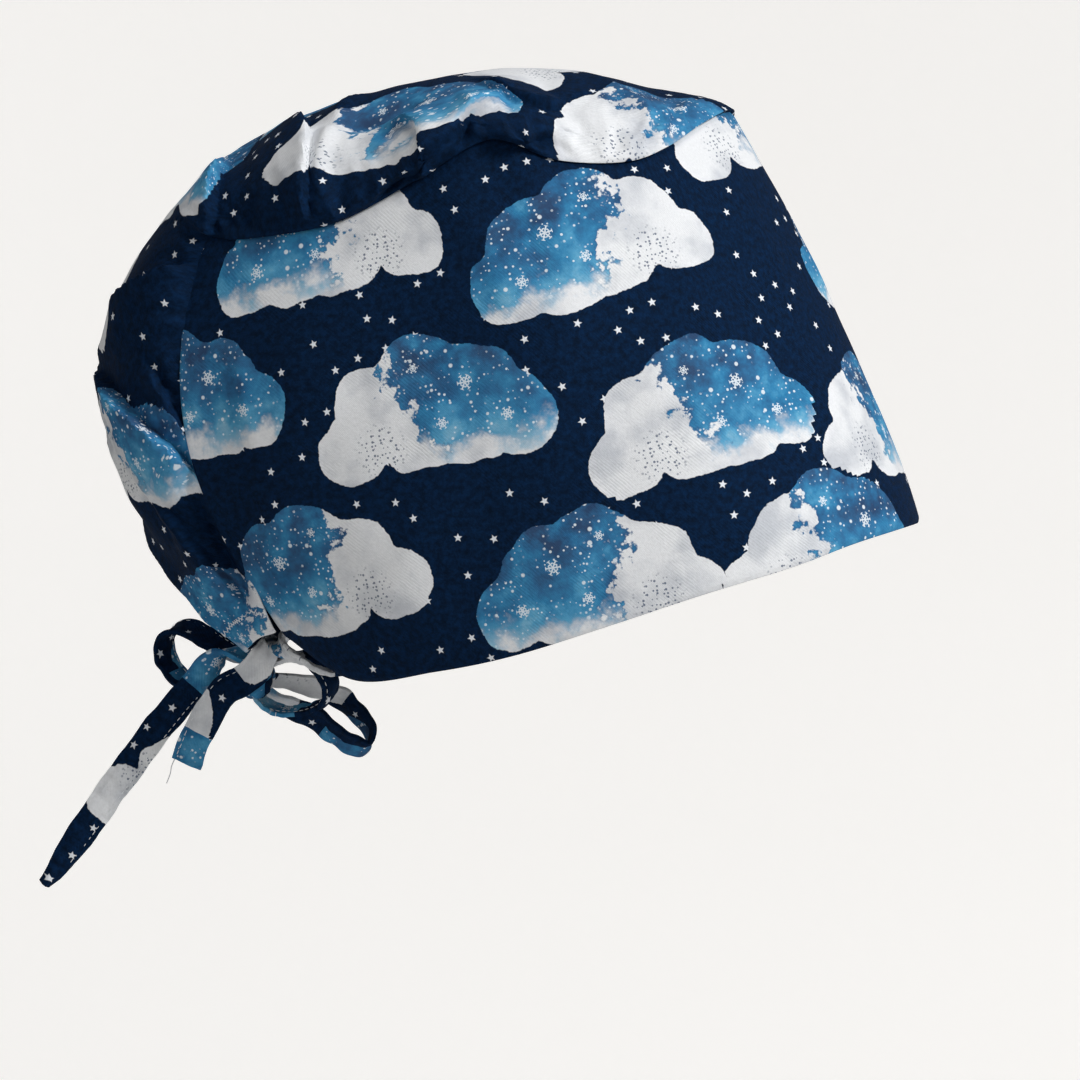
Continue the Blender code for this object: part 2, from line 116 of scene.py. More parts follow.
# band station of the foot, share of the height, lift, ridge ahead, ridge up
CROWN_ROWS = np.array((
    (0, 1.00, 1.0, 0.155, 0.920),
    (1, 1.00, 0.9, 0.128, 0.935),
    (2, 1.00, 0.6, 0.091, 0.949),
    (3, 1.00, 0.3, 0.041, 0.965),
    (4, 1.00, 0.0, -0.027, 0.993),
    (5, 1.00, 0.0, -0.108, 0.995),
    (6, 1.00, 0.0, -0.203, 0.977),
    (7, 1.00, 0.0, -0.318, 0.934),
    (8, 1.00, 0.0, -0.424, 0.862),
    (9, 1.00, 0.0, -0.506, 0.743),
    (9, 0.89, 0.0, -0.571, 0.612),
    (9, 0.68, 0.0, -0.593, 0.478),
    (9, 0.52, 0.0, -0.598, 0.360),
    (9, 0.38, 0.0, -0.575, 0.224),
    (9, 0.25, 0.0, -0.519, 0.098),
    (9, 0.15, 0.0, -0.468, -0.006),
    (9, 0.06, 0.0, -0.416, -0.076),
))
LAST_STATION = len(BAND_ROWS) - 1
LAST_ARCH = len(CROWN_ROWS) - 1
OTHER_SIDE = np.array([1, -1, 1, 1, -1, 1, 1, -1])
WHOLE_BAND = np.vstack([(BAND_ROWS * OTHER_SIDE)[:0:-1], BAND_ROWS])
print("band stations:", len(WHOLE_BAND), " crown arches:", len(CROWN_ROWS))


# %% Smooth rows, runs and unit arrows
def row_values(rows, numbers):
    """A table's values at fractional row numbers, on a smooth curve that runs on past both ends."""
    last = len(rows) - 1
    padded = np.vstack([2 * rows[0] - rows[1], rows, 2 * rows[-1] - rows[-2]])
    low = np.clip(np.floor(numbers).astype(int), 0, last - 1)
    share = (numbers - low)[..., None]
    before, first, second, after = (padded[low + step] for step in range(4))
    return 0.5 * (
        2 * first
        + (second - before) * share
        + (2 * before - 5 * first + 4 * second - after) * share**2
        + (3 * first - before - 3 * second + after) * share**3
    )


def steps_of(line):
    """The lengths of the pieces of a line of points."""
    return np.linalg.norm(np.diff(line, axis=0), axis=1)


def run_of(steps):
    """How far along its line each point lies, from the lengths of the line's pieces."""
    return np.concatenate([[0], np.cumsum(steps)])


def points_at(where, run, points):
    """Points, or arrows, at given distances along a line."""
    return np.stack([np.interp(where, run, points[:, axis]) for axis in range(3)], axis=-1)


def unit(arrows):
    """The same arrows, 1 long."""
    return arrows / np.maximum(np.linalg.norm(arrows, axis=-1, keepdims=True), 1e-12)


def cap_points(ahead, aside, up):
    return np.stack([aside * HALF_WIDTH, -ahead * CAP_LENGTH, up * CAP_HEIGHT], axis=-1)


# %% Band and crown as surfaces
def band_base(station, share):
    """The band's outer face; share runs from 0 at the hem to 1 at the crown seam."""
    row = row_values(WHOLE_BAND, station + LAST_STATION)
    hem = cap_points(row[..., 0], row[..., 1], row[..., 2])
    top = cap_points(row[..., 3], row[..., 4], row[..., 5])
    bulge = cap_points(row[..., 6], row[..., 7], 0 * station)
    height = share[..., None]
    return hem + (top - hem) * height + bulge * 4 * height * (1 - height)


def crown_base(number, across):
    """The crown's outer face; across runs from -1, the wearer's right seam, over 0, the ridge, to 1."""
    side = np.where(across < 0, -1.0, 1.0)
    station = np.interp(number, range(LAST_ARCH + 1), CROWN_ROWS[:, 0])
    share = np.interp(number, range(LAST_ARCH + 1), CROWN_ROWS[:, 1])
    edge = band_base(side * station, share)
    up_way = unit(band_base(side * station, share + 0.01) - edge)
    back_way = unit(band_base(side * (station + 0.01), share) - edge)
    away = up_way * (number <= LAST_STATION)[..., None] + back_way * (number >= LAST_STATION)[..., None]
    lift, ridge_ahead, ridge_up = np.moveaxis(row_values(CROWN_ROWS, number)[..., 2:], -1, 0)
    foot = edge + away * (SEAM_GAP + lift * CLOTH)[..., None]
    ridge = cap_points(ridge_ahead, 0 * ridge_up, ridge_up)
    ridge[..., 1:] += (foot - edge)[..., 1:]
    turn = np.radians(90 * (1 - np.abs(across)))
    point = foot + (ridge - foot) * np.sin(turn)[..., None]
    point[..., 0] = foot[..., 0] * (np.cos(turn) + CROWN_PUFF / HALF_WIDTH * np.sin(2 * turn))
    return point


def outward(surface, first, second, step=0.02):
    """Unit arrows out of a surface, from its slopes both ways."""
    along = surface(first + step, second) - surface(first - step, second)
    over = surface(first, second + step) - surface(first, second - step)
    return unit(np.cross(over, along))


ear_point = band_base(np.array(-5.0), np.array(0.0))
print("hem above the right ear, mm:", np.round(ear_point / MM))

# %% [markdown]
# ## Folds and ripples
#
# Cotton doesn't stretch, so where it has to turn a corner it folds. Each fold is given as a crease, a
# curve over the surface through three points, with a height and two widths: a broad side that rolls away
# and a steep side that drops like a lap. A cloth simulation could find folds by itself, but not these
# ones, in the places where this cap has them. Ripples are a sum of a few sine waves in seeded directions,
# which costs little and has no seam.


# %% Creases
CREASE_POINTS = 40
CREST_RADIUS = 1.48  # in millimetres; a fold's crest is round, not an edge
CREST_ROUNDING = 2.2  # its square
LAP_MM = 4.0  # a steep side narrower than this is a lap, which hides some cloth
LAP_TUCK = 0.45  # how deep the cloth under a lap sinks, as a share of its height
LAP_HIDDEN_MM = 11.0
LAP_LEAN = 0.75  # how far a lap's crest leans over, as a share of its height
LAP_FADE_MM = 60.0


def crease_line(surface, ends):
    """Points of a crease on the surface, with the direction along it and the direction across it."""
    first, first_over, middle, middle_over, last, last_over = ends
    share = np.linspace(0, 1, CREASE_POINTS)
    weights = (2 * (share - 0.5) * (share - 1), 4 * share * (1 - share), 2 * share * (share - 0.5))
    number = weights[0] * first + weights[1] * middle + weights[2] * last
    over = weights[0] * first_over + weights[1] * middle_over + weights[2] * last_over
    points = surface(number, over)
    along = unit(np.gradient(points, axis=0))
    across = unit(np.cross(outward(surface, number, over), along))
    return points, along, across


def nearest_on_crease(points, crease):
    """For each point: distance to a crease, signed distance across it, how far past its ends, and where."""
    line, along, across = crease
    gaps = points[:, None, :] - line[None]
    nearest = np.argmin(np.einsum("pqc,pqc->pq", gaps, gaps), axis=1)
    gap = gaps[np.arange(len(points)), nearest]
    sideways = np.einsum("pc,pc->p", gap, across[nearest])
    past_end = np.abs(np.einsum("pc,pc->p", gap, along[nearest]))
    return np.linalg.norm(gap, axis=1), sideways, past_end, nearest


def lap_taper(nearest, past_end):
    """1 along the middle of a lap, falling to 0 at both of its ends."""
    run = nearest / (CREASE_POINTS - 1)
    return np.sin(np.pi * np.clip(run, 0, 1)) ** 0.5 * np.exp(-((past_end / MM / 3.0) ** 2))


def fold_height(points, surface, folds):
    """How far all the folds lift each point off the surface, in metres."""
    lift = np.zeros(len(points))
    for *ends, height, broad, steep in folds:
        crease = crease_line(surface, ends)
        off, sideways, past_end, nearest = nearest_on_crease(points, crease)
        off = off / MM
        from_crest = np.sqrt(off**2 + CREST_ROUNDING) - CREST_RADIUS
        rolled = np.exp(-1.3 * from_crest / np.where(sideways > 0, broad, steep))
        reach = np.clip(off / steep, 0, 1)
        drop = 1 - reach**2 * (3 - 2 * reach)
        tucked = drop - LAP_TUCK * (1 - drop) * np.exp(-off / broad)
        profile = np.where((sideways < 0) & (steep < LAP_MM), tucked, rolled)
        run = nearest / (CREASE_POINTS - 1)
        taper = np.clip(1.25 * np.sin(np.pi * np.clip(run * 0.92 + 0.04, 0, 1)) ** 0.6, 0, 1)
        lift += height * MM * profile * taper * np.exp(-((past_end / (broad * MM)) ** 2))
    return lift


def lap_lean(points, surface, folds):
    """How far each lap's crest leans over the cloth beside it, as arrows in metres."""
    arrows = np.zeros_like(points)
    for *ends, height, broad, steep in folds:
        if steep >= LAP_MM:
            continue
        crease = crease_line(surface, ends)
        off, sideways, past_end, nearest = nearest_on_crease(points, crease)
        off = off / MM
        lean = np.where(sideways < 0, np.clip(1 - off / steep, 0, 1), np.exp(-off / 8))
        lean = LAP_LEAN * height * lean * lap_taper(nearest, past_end)
        arrows -= crease[2][nearest] * lean[:, None] * MM
    return arrows


def print_slip(points, surface, folds):
    """Moves points back by the cloth that each lap hides, so that the print is cut at the lap's edge."""
    moved = points.copy()
    for *ends, height, broad, steep in folds:
        if steep >= LAP_MM:
            continue
        crease = crease_line(surface, ends)
        off, sideways, past_end, nearest = nearest_on_crease(points, crease)
        beyond = np.clip(-sideways / MM / steep, 0, 1)
        hidden = LAP_HIDDEN_MM * beyond * np.clip(1 - off / MM / LAP_FADE_MM, 0, 1)
        hidden = hidden * lap_taper(nearest, past_end)
        moved -= crease[2][nearest] * hidden[:, None] * MM
    return moved


# %% Ripples
def ripples(points, length_mm, seed, stretch=(1.0, 1.0, 1.0)):
    """Smooth seeded unevenness between about -1 and 1, with waves of about the given length."""
    dice = np.random.default_rng(seed)
    total = np.zeros(len(points))
    for _ in range(9):
        direction = unit(dice.normal(size=3)) * np.array(stretch)
        pace = 2 * np.pi / (length_mm * MM) * dice.uniform(0.7, 1.5)
        total += np.sin(points @ direction * pace + dice.uniform(0, 2 * np.pi))
    return total / 3


print("ripple at the origin:", round(float(ripples(np.zeros((1, 3)), 30, 1)[0]), 2))

# %% [markdown]
# ## Cloth pieces from a flat grid
#
# Every piece of this cap was cut flat, so each one starts as a flat bmesh grid and is bent by a formula.
# The grid's own X and Y say which thread each point is on. Solidify then gives the wall, with the dark
# facing as the inside of the band and the crown, and a small Bevel rounds the turned edges, because no
# cloth edge is a knife edge.


# %% Grid to cloth
SHEET_WALL_MM = 1.3
WALL_INWARDS = -1.0  # the grid is the outer face
WALL_BOTH_WAYS = 0.0  # the grid is the middle of the strip
EDGE_ROUNDING = 0.3  # as a share of the wall


def eased(share, ease=0.55):
    """Moves grid lines closer to both ends of 0 to 1, where edges turn and need more points."""
    return share - ease * np.sin(2 * np.pi * share) / (2 * np.pi)


def flat_grid(name, columns, lines):
    """A flat grid mesh and the places of its points, from 0 to 1 both ways."""
    grid = bmesh.new()
    bmesh.ops.create_grid(grid, x_segments=columns, y_segments=lines, size=0.5)
    bmesh.ops.translate(grid, vec=Vector((0.5, 0.5, 0.0)), verts=grid.verts)
    mesh = bpy.data.meshes.new(name)
    grid.to_mesh(mesh)
    grid.free()
    places = np.zeros(len(mesh.vertices) * 3)
    mesh.vertices.foreach_get("co", places)
    places = places.reshape(-1, 3)
    return mesh, np.clip(places[:, 0], 0, 1), np.clip(places[:, 1], 0, 1)


def corner_points(mesh):
    """The point at each face corner, and the face that each corner belongs to."""
    points = np.zeros(len(mesh.loops), dtype=int)
    mesh.loops.foreach_get("vertex_index", points)
    sizes = np.zeros(len(mesh.polygons), dtype=int)
    mesh.polygons.foreach_get("loop_total", sizes)
    return points, np.repeat(np.arange(len(sizes)), sizes)


def face_middles(mesh, places):
    """The same, with the middle of each face worked out from its points' places."""
    corners, faces = corner_points(mesh)
    middles = np.zeros((len(mesh.polygons), places.shape[1]))
    np.add.at(middles, faces, places[corners])
    return corners, faces, middles / np.bincount(faces)[:, None]


def write_thread_map(mesh, thread_mm):
    """The UV map of the weave, in centimetres of flat cloth."""
    corners, _ = corner_points(mesh)
    layer = mesh.uv_layers.new(name="threads")
    layer.uv.foreach_set("vector", (thread_mm[corners] / 10).astype(np.float32).ravel())


def finish_cloth(mesh, points, materials, wall_mm, offset):
    """Bends the mesh to its points and makes it a walled, soft-edged object that rides on the body."""
    mesh.vertices.foreach_set("co", points.astype(np.float32).ravel())
    mesh.update()
    for material in materials:
        mesh.materials.append(material)
    mesh.shade_smooth()
    cloth = put_in_scene(mesh.name, mesh)
    wall = cloth.modifiers.new("wall", "SOLIDIFY")
    wall.thickness = wall_mm * MM
    wall.offset = offset
    wall.use_even_offset = False
    if len(materials) > 1:
        wall.material_offset = 1
    edge = cloth.modifiers.new("turned edge", "BEVEL")
    edge.width = wall_mm * EDGE_ROUNDING * MM
    edge.segments = 2
    edge.limit_method = "ANGLE"
    edge.angle_limit = math.radians(60)
    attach(cloth, "root")
    return cloth


# %% [markdown]
# ## Where the print falls
#
# The printed cloth has large painted clouds in offset rows and small stars between them. A repeat on one
# UV map would shear where the crown is gathered, so each cloud is laid on the finished surface instead:
# every face takes the nearest cloud and stores where it lies in that cloud's own millimetres. The border
# between two clouds is plain ground, so it never shows. The stars are laid in the same way.

# %% Laying clouds and stars
CLOUD_REACH_MM = np.array([50.0, 31.0])  # half the room that one cloud takes, sideways and upwards
PRINT_LEAN = 0.22  # how far the print's up leans back, for each part upwards
CLOUD_LEAN = 7  # degrees
CLOUD_TRIES = 2500
CLOUD_ROOM = 2.6  # least distance of two clouds, squared, in those halves
STAR_ROOM_MM = 7.5  # least distance of two places for a star
STAR_SHARE = 0.42  # how many of these places hold one
STAR_SPIN = 0.35  # in radians, either way


def local_mm(points, centre, sideways, upwards):
    """Millimetres from a centre along two arrows, with the true distance kept on a curved surface."""
    gap = (points - centre) / MM
    flat = np.stack([np.sum(gap * sideways, axis=-1), np.sum(gap * upwards, axis=-1)], axis=-1)
    true_length = np.linalg.norm(gap, axis=-1, keepdims=True)
    return flat * true_length / np.maximum(np.linalg.norm(flat, axis=-1, keepdims=True), 1e-9)


def print_arrows(normals):
    """The print's sideways and upward arrows on a surface; up leans back where the cloth lies flat."""
    guide = np.array([0.0, PRINT_LEAN, 1.0])
    upwards = unit(guide - normals * np.sum(normals * guide, axis=-1, keepdims=True))
    return np.cross(upwards, normals), upwards


def write_corner_arrows(mesh, name, values):
    layer = mesh.attributes.new(name, "FLOAT_VECTOR", "CORNER")
    layer.data.foreach_set("vector", values.astype(np.float32).ravel())


def take_cloud(points, normals, index, turn, picked, turns):
    """Adds a cloud at a point, unless it would run into one that is there already."""
    arrows = print_arrows(normals[index])
    gaps = [local_mm(points[other], points[index], *arrows) for other in picked]
    rooms = [np.sum((gap / CLOUD_REACH_MM) ** 2) for gap in gaps]
    if min(rooms, default=CLOUD_ROOM) >= CLOUD_ROOM:
        picked.append(index)
        turns.append(turn)


def fill_with_clouds(points, normals, picked, turns, seed):
    """Adds clouds where the rows have left room for one more."""
    dice = np.random.default_rng(seed)
    for index in dice.permutation(len(points))[:CLOUD_TRIES]:
        take_cloud(points, normals, int(index), int(dice.choice((-1, 1))), picked, turns)


def lay_clouds(mesh, points, normals, picked, turns, seed):
    """Stores each face corner's place in its nearest cloud; picked are the points at the clouds' centres."""
    corners, faces, middles = face_middles(mesh, points)
    dice = np.random.default_rng(seed)
    best = np.full(len(middles), np.inf)
    chosen = np.zeros(len(middles), dtype=int)
    frames = []
    for order, index in enumerate(picked):
        sideways, upwards = print_arrows(normals[index])
        lean = math.radians(dice.uniform(-CLOUD_LEAN, CLOUD_LEAN))
        across = sideways * math.cos(lean) + upwards * math.sin(lean)
        frames.append((points[index], across, upwards * math.cos(lean) - sideways * math.sin(lean)))
        room = np.sum((local_mm(middles, *frames[-1]) / CLOUD_REACH_MM) ** 2, axis=1)
        nearer = room < best
        best[nearer] = room[nearer]
        chosen[nearer] = order
    centres, across, upwards = (np.array(column)[chosen[faces]] for column in zip(*frames))
    place = local_mm(points[corners], centres, across, upwards)
    sideways_mm = place[:, 0] * np.array(turns)[chosen[faces]]
    values = np.column_stack([sideways_mm, place[:, 1], chosen[faces] + seed * 17])
    write_corner_arrows(mesh, "cloud_place", values)


def lay_stars(mesh, points, normals, seed):
    """Throws stars on the surface, and stores each face corner's place in its nearest star."""
    dice = np.random.default_rng(seed)
    stars, taken = [], {}
    cells = np.floor(points / (STAR_ROOM_MM * MM)).astype(int)
    for index in dice.permutation(len(points)):
        x, y, z = cells[index]
        around = [(x + i, y + j, z + k) for i in (-1, 0, 1) for j in (-1, 0, 1) for k in (-1, 0, 1)]
        near = [other for cell in around for other in taken.get(cell, ())]
        if not near or min(np.linalg.norm(points[near] - points[index], axis=1)) > STAR_ROOM_MM * MM:
            taken.setdefault((x, y, z), []).append(int(index))
            stars.append(int(index))
    tree = KDTree(len(stars))
    for order, index in enumerate(stars):
        tree.insert(Vector(points[index]), order)
    tree.balance()
    corners, faces, middles = face_middles(mesh, points)
    chosen = np.array([tree.find(Vector(middle))[1] for middle in middles])
    spin = dice.uniform(-STAR_SPIN, STAR_SPIN, len(stars))
    shown = dice.uniform(0, 1, len(stars)) < STAR_SHARE
    sideways, upwards = print_arrows(normals[stars])
    across = sideways * np.cos(spin)[:, None] + upwards * np.sin(spin)[:, None]
    upright = upwards * np.cos(spin)[:, None] - sideways * np.sin(spin)[:, None]
    mine = chosen[faces]
    place = local_mm(points[corners], points[stars][mine], across[mine], upright[mine])
    write_corner_arrows(mesh, "star_place", np.column_stack([place, shown[mine].astype(float)]))
    return int(shown.sum())


# %% [markdown]
# ## Shader helpers
#
# Procedural cloth needs many small nodes, and most of them are arithmetic. Short helpers add a node, feed
# its sockets and hand back its output, so that a formula reads almost as it would on paper.


# %% Node helpers
def add_node(tree, kind, *feeds, output=0, **settings):
    """Adds a node, feeds its inputs in order with values or other outputs, and returns one output."""
    made = tree.nodes.new(kind)
    for setting, value in settings.items():
        setattr(made, setting, value)
    for socket, feed in zip(made.inputs, feeds):
        if isinstance(feed, bpy.types.NodeSocket):
            tree.links.new(feed, socket)
        elif feed is not None:
            socket.default_value = feed
    return made.outputs[output]


def calc(tree, operation, *feeds):
    return add_node(tree, "ShaderNodeMath", *feeds, operation=operation)


def times(tree, first, second):
    return calc(tree, "MULTIPLY", first, second)


def plus(tree, first, second):
    return calc(tree, "ADD", first, second)


def minus(tree, first, second):
    return calc(tree, "SUBTRACT", first, second)


def ramp_between(tree, value, low, high, at_low=0.0, at_high=1.0):
    """A smooth change from at_low to at_high while value goes from low to high."""
    feeds = (value, low, high, at_low, at_high)
    return add_node(tree, "ShaderNodeMapRange", *feeds, interpolation_type="SMOOTHSTEP")


def mixed(tree, factor, first, second, blend="MIX"):
    """A mix of two colours; in the Mix node they are the seventh and eighth sockets."""
    feeds = (factor, None, None, None, None, None, first, second)
    return add_node(tree, "ShaderNodeMix", *feeds, output=2, data_type="RGBA", blend_type=blend)


def parts_of(tree, vector):
    """The separate X, Y and Z of a vector."""
    made = tree.nodes.new("ShaderNodeSeparateXYZ")
    tree.links.new(vector, made.inputs[0])
    return made.outputs


def away_from(tree, where, point):
    """The distance from a fixed point."""
    return add_node(tree, "ShaderNodeVectorMath", where, point, operation="DISTANCE", output=1)


def noise(tree, place, scale, detail=3.0, roughness=0.55):
    return add_node(tree, "ShaderNodeTexNoise", place, None, scale, detail, roughness)


def srgb(red, green, blue):
    """A picture's colour, from 0 to 255, as the linear colour that a shader takes."""
    linear = []
    for share in (red / 255, green / 255, blue / 255):
        linear.append(share / 12.92 if share < 0.04045 else ((share + 0.055) / 1.055) ** 2.4)
    return (*linear, 1.0)


def new_group(name, inputs, outputs):
    """An empty node group with named sockets; returns its tree, its input node and its output node."""
    tree = bpy.data.node_groups.new(name, "ShaderNodeTree")
    for direction, sockets in (("INPUT", inputs), ("OUTPUT", outputs)):
        for title, kind in sockets.items():
            tree.interface.new_socket(title, in_out=direction, socket_type="NodeSocket" + kind)
    return tree, tree.nodes.new("NodeGroupInput"), tree.nodes.new("NodeGroupOutput")


def use_group(tree, group, *feeds):
    made = tree.nodes.new("ShaderNodeGroup")
    made.node_tree = group
    for socket, feed in zip(made.inputs, feeds):
        tree.links.new(feed, socket)
    return made.outputs


# %% [markdown]
# ## The woven ground
#
# The cloth is a plain cotton with fine diagonal ribs. Its threads are about half a millimetre apart, so
# from the camera they show as a faint grain and as short diagonal lines where the light grazes them. The
# group gives a shade to multiply the print with and a height for the bump, both from the flat cloth's own
# threads.

# %% Weave group
THREADS_PER_CM = 17.0
RIBS_PER_CM = 6.5
# of the threads, then of the slubs, which are thicker places in them
RELIEF_MM = (0.055, 0.16)
SHADING = (0.08, 0.32)
PLAIN_SHADE = 0.84

weave, weave_in, weave_out = new_group(
    "woven cotton", {"Threads": "Vector"}, {"Shade": "Float", "Height": "Float"}
)
threads = weave_in.outputs["Threads"]
across_thread, along_thread, _ = parts_of(weave, threads)
wobble = noise(weave, threads, 3.0, 2.0)


def thread_wave(tree, value, per_cm):
    """Waves across the threads, which waver as threads do."""
    pace = times(tree, value, per_cm * 2 * math.pi)
    return calc(tree, "SINE", plus(tree, pace, times(tree, wobble, 5.0)))


warp = thread_wave(weave, across_thread, THREADS_PER_CM)
weft = thread_wave(weave, along_thread, THREADS_PER_CM)
diagonal = plus(weave, across_thread, times(weave, along_thread, 1.25))
ribs = thread_wave(weave, diagonal, RIBS_PER_CM)
rib_patch = ramp_between(weave, noise(weave, threads, 0.55, 2.0), 0.42, 0.66)
rib_height = times(weave, ribs, rib_patch)
cross = times(weave, warp, weft)
slubs = noise(weave, threads, 9.0, 4.0, 0.7)
fine = plus(weave, times(weave, cross, 0.5), times(weave, rib_height, 0.5))
height = plus(weave, times(weave, fine, RELIEF_MM[0]), times(weave, slubs, RELIEF_MM[1]))
shade = plus(weave, times(weave, fine, SHADING[0]), times(weave, slubs, SHADING[1]))
weave.links.new(plus(weave, shade, PLAIN_SHADE), weave_out.inputs["Shade"])
weave.links.new(height, weave_out.inputs["Height"])
print("weave group:", len(weave.nodes), "nodes")

# %% [markdown]
# ## The painted cloud
#
# Each printed cloud looks like a small watercolour: warm white paper, a deep blue wash that pooled on one
# side, pale flecks and ice crystals in the wash, and a patch of dark flecks on the white. Its outline is
# a union of circles cut off below, all measured as a distance in millimetres, and noise frays that
# distance like a brush edge.

# %% Cloud group
# sideways, upwards and radius of each circle, and the same of each ice crystal
CLOUD_LOBES_MM = (
    (-31, -7, 12), (-19, 5, 15), (-2, 11, 17), (15, 5, 18), (30, -5, 13), (-6, -6, 15), (10, -8, 14),
)
CLOUD_FLOOR_MM = -18.0
CRYSTALS_MM = ((13, 9, 2.7), (26, -4, 2.3), (3, -3, 2.1), (-4, 17, 1.7))

cloud, cloud_in, cloud_out = new_group(
    "painted cloud", {"Place": "Vector"}, {"Colour": "Color", "Mask": "Float"}
)
place = cloud_in.outputs["Place"]
spread = add_node(cloud, "ShaderNodeVectorMath", place, (1.0, 1.0, 11.3), operation="MULTIPLY")
paint_x, paint_y, cloud_number = parts_of(cloud, place)
paint_flat = add_node(cloud, "ShaderNodeCombineXYZ", paint_x, paint_y, 0.0)


def frayed(tree, where, amount, scale):
    """Moves places about by a noise, for an outline painted by hand."""
    cloudy = add_node(tree, "ShaderNodeTexNoise", spread, None, scale, 2.0, 0.5, output=1)
    centred = add_node(tree, "ShaderNodeVectorMath", cloudy, (0.5, 0.5, 0.5), operation="SUBTRACT")
    pushed = add_node(tree, "ShaderNodeVectorMath", centred, (amount, amount, 0.0), operation="MULTIPLY")
    return add_node(tree, "ShaderNodeVectorMath", where, pushed, operation="ADD")


outline_place = frayed(cloud, frayed(cloud, paint_flat, 9.0, 0.045), 1.0, 0.7)
cloud_gap = None
for centre_x, centre_y, radius in CLOUD_LOBES_MM:
    lobe = minus(cloud, away_from(cloud, outline_place, (centre_x, centre_y, 0.0)), radius)
    cloud_gap = lobe if cloud_gap is None else calc(cloud, "SMOOTH_MIN", cloud_gap, lobe, 3.0)
below = minus(cloud, CLOUD_FLOOR_MM, parts_of(cloud, outline_place)[1])
cloud_gap = calc(cloud, "SMOOTH_MAX", cloud_gap, below, 5.0)
cloud_mask = ramp_between(cloud, cloud_gap, 0.12, -0.12)

# %% Paper, wash and flecks of the cloud
# place on the ramp, and the colour there
WASH_STOPS = (
    (0.30, (7, 56, 98)),
    (0.43, (8, 90, 138)),
    (0.54, (24, 119, 167)),
    (0.66, (72, 152, 192)),
    (0.82, (138, 186, 210)),
)
paper_noise = noise(cloud, spread, 0.055, 3.0)
paper = mixed(cloud, ramp_between(cloud, paper_noise, 0.42, 0.72), srgb(226, 228, 231), srgb(190, 194, 201))
wash_noise = noise(cloud, spread, 0.10, 4.0, 0.6)
wash_edge_noise = noise(cloud, spread, 0.16, 4.0, 0.6)
wash_side = plus(cloud, paint_x, times(cloud, paint_y, 0.35))
wash_reach = plus(cloud, wash_side, times(cloud, minus(cloud, wash_edge_noise, 0.5), 46.0))
wash_mask = ramp_between(cloud, wash_reach, -8.0, -5.5)
fading = plus(cloud, paint_y, times(cloud, minus(cloud, wash_noise, 0.5), 30.0))
wash_mask = times(cloud, wash_mask, ramp_between(cloud, fading, -16.0, -7.0))
ramp = cloud.nodes.new("ShaderNodeValToRGB")
paling = ramp_between(cloud, fading, 18.0, -14.0, -0.08, 0.12)
cloud.links.new(plus(cloud, wash_noise, paling), ramp.inputs[0])
while len(ramp.color_ramp.elements) < len(WASH_STOPS):
    ramp.color_ramp.elements.new(0.5)
for stop, (position, colour) in zip(ramp.color_ramp.elements, WASH_STOPS):
    stop.position = position
    stop.color = srgb(*colour)
rim_rise = ramp_between(cloud, wash_reach, -8.0, -6.0)
wet_rim = times(cloud, rim_rise, ramp_between(cloud, wash_reach, -3.0, -6.0))
wash = mixed(cloud, times(cloud, wet_rim, 0.45), ramp.outputs[0], srgb(16, 74, 124))
cloud_colour = mixed(cloud, times(cloud, wash_mask, 0.96), paper, wash)


def dots(tree, where, scale, small, big, keep):
    """Round dots in a scattered grid; scale is dots to a millimetre, small and big are radii in cells."""
    cell = tree.nodes.new("ShaderNodeTexVoronoi")
    cell.voronoi_dimensions = "2D"
    tree.links.new(where, cell.inputs["Vector"])
    cell.inputs["Scale"].default_value = scale
    cell.inputs["Randomness"].default_value = 1.0
    choice = tree.nodes.new("ShaderNodeSeparateColor")
    tree.links.new(cell.outputs["Color"], choice.inputs[0])
    radius = add_node(tree, "ShaderNodeMapRange", choice.outputs[0], 0.0, 1.0, small, big)
    inside = minus(tree, radius, cell.outputs["Distance"])
    shown = calc(tree, "LESS_THAN", choice.outputs[1], keep)
    return times(tree, ramp_between(tree, inside, -0.03, 0.03), shown)


seeded_x = plus(cloud, paint_x, times(cloud, cloud_number, 91.0))
seeded_flat = add_node(cloud, "ShaderNodeCombineXYZ", seeded_x, paint_y, 0.0)
fleck_bunches = ramp_between(cloud, noise(cloud, seeded_flat, 0.13, 2.0), 0.44, 0.56)
fine_flecks = times(cloud, dots(cloud, seeded_flat, 0.52, 0.06, 0.26, 0.55), fleck_bunches)
big_flecks = dots(cloud, seeded_flat, 0.155, 0.03, 0.13, 0.55)
pale_flecks = times(cloud, calc(cloud, "MAXIMUM", fine_flecks, big_flecks), wash_mask)
dark_region = away_from(cloud, paint_flat, (-20.0, -8.0, 0.0))
dark_dots = dots(cloud, paint_flat, 0.62, 0.12, 0.27, 0.8)
dark_flecks = times(cloud, dark_dots, ramp_between(cloud, dark_region, 11.0, 6.0))
cloud_colour = mixed(cloud, times(cloud, dark_flecks, 0.8), cloud_colour, srgb(52, 74, 104))
crystal_mask = pale_flecks
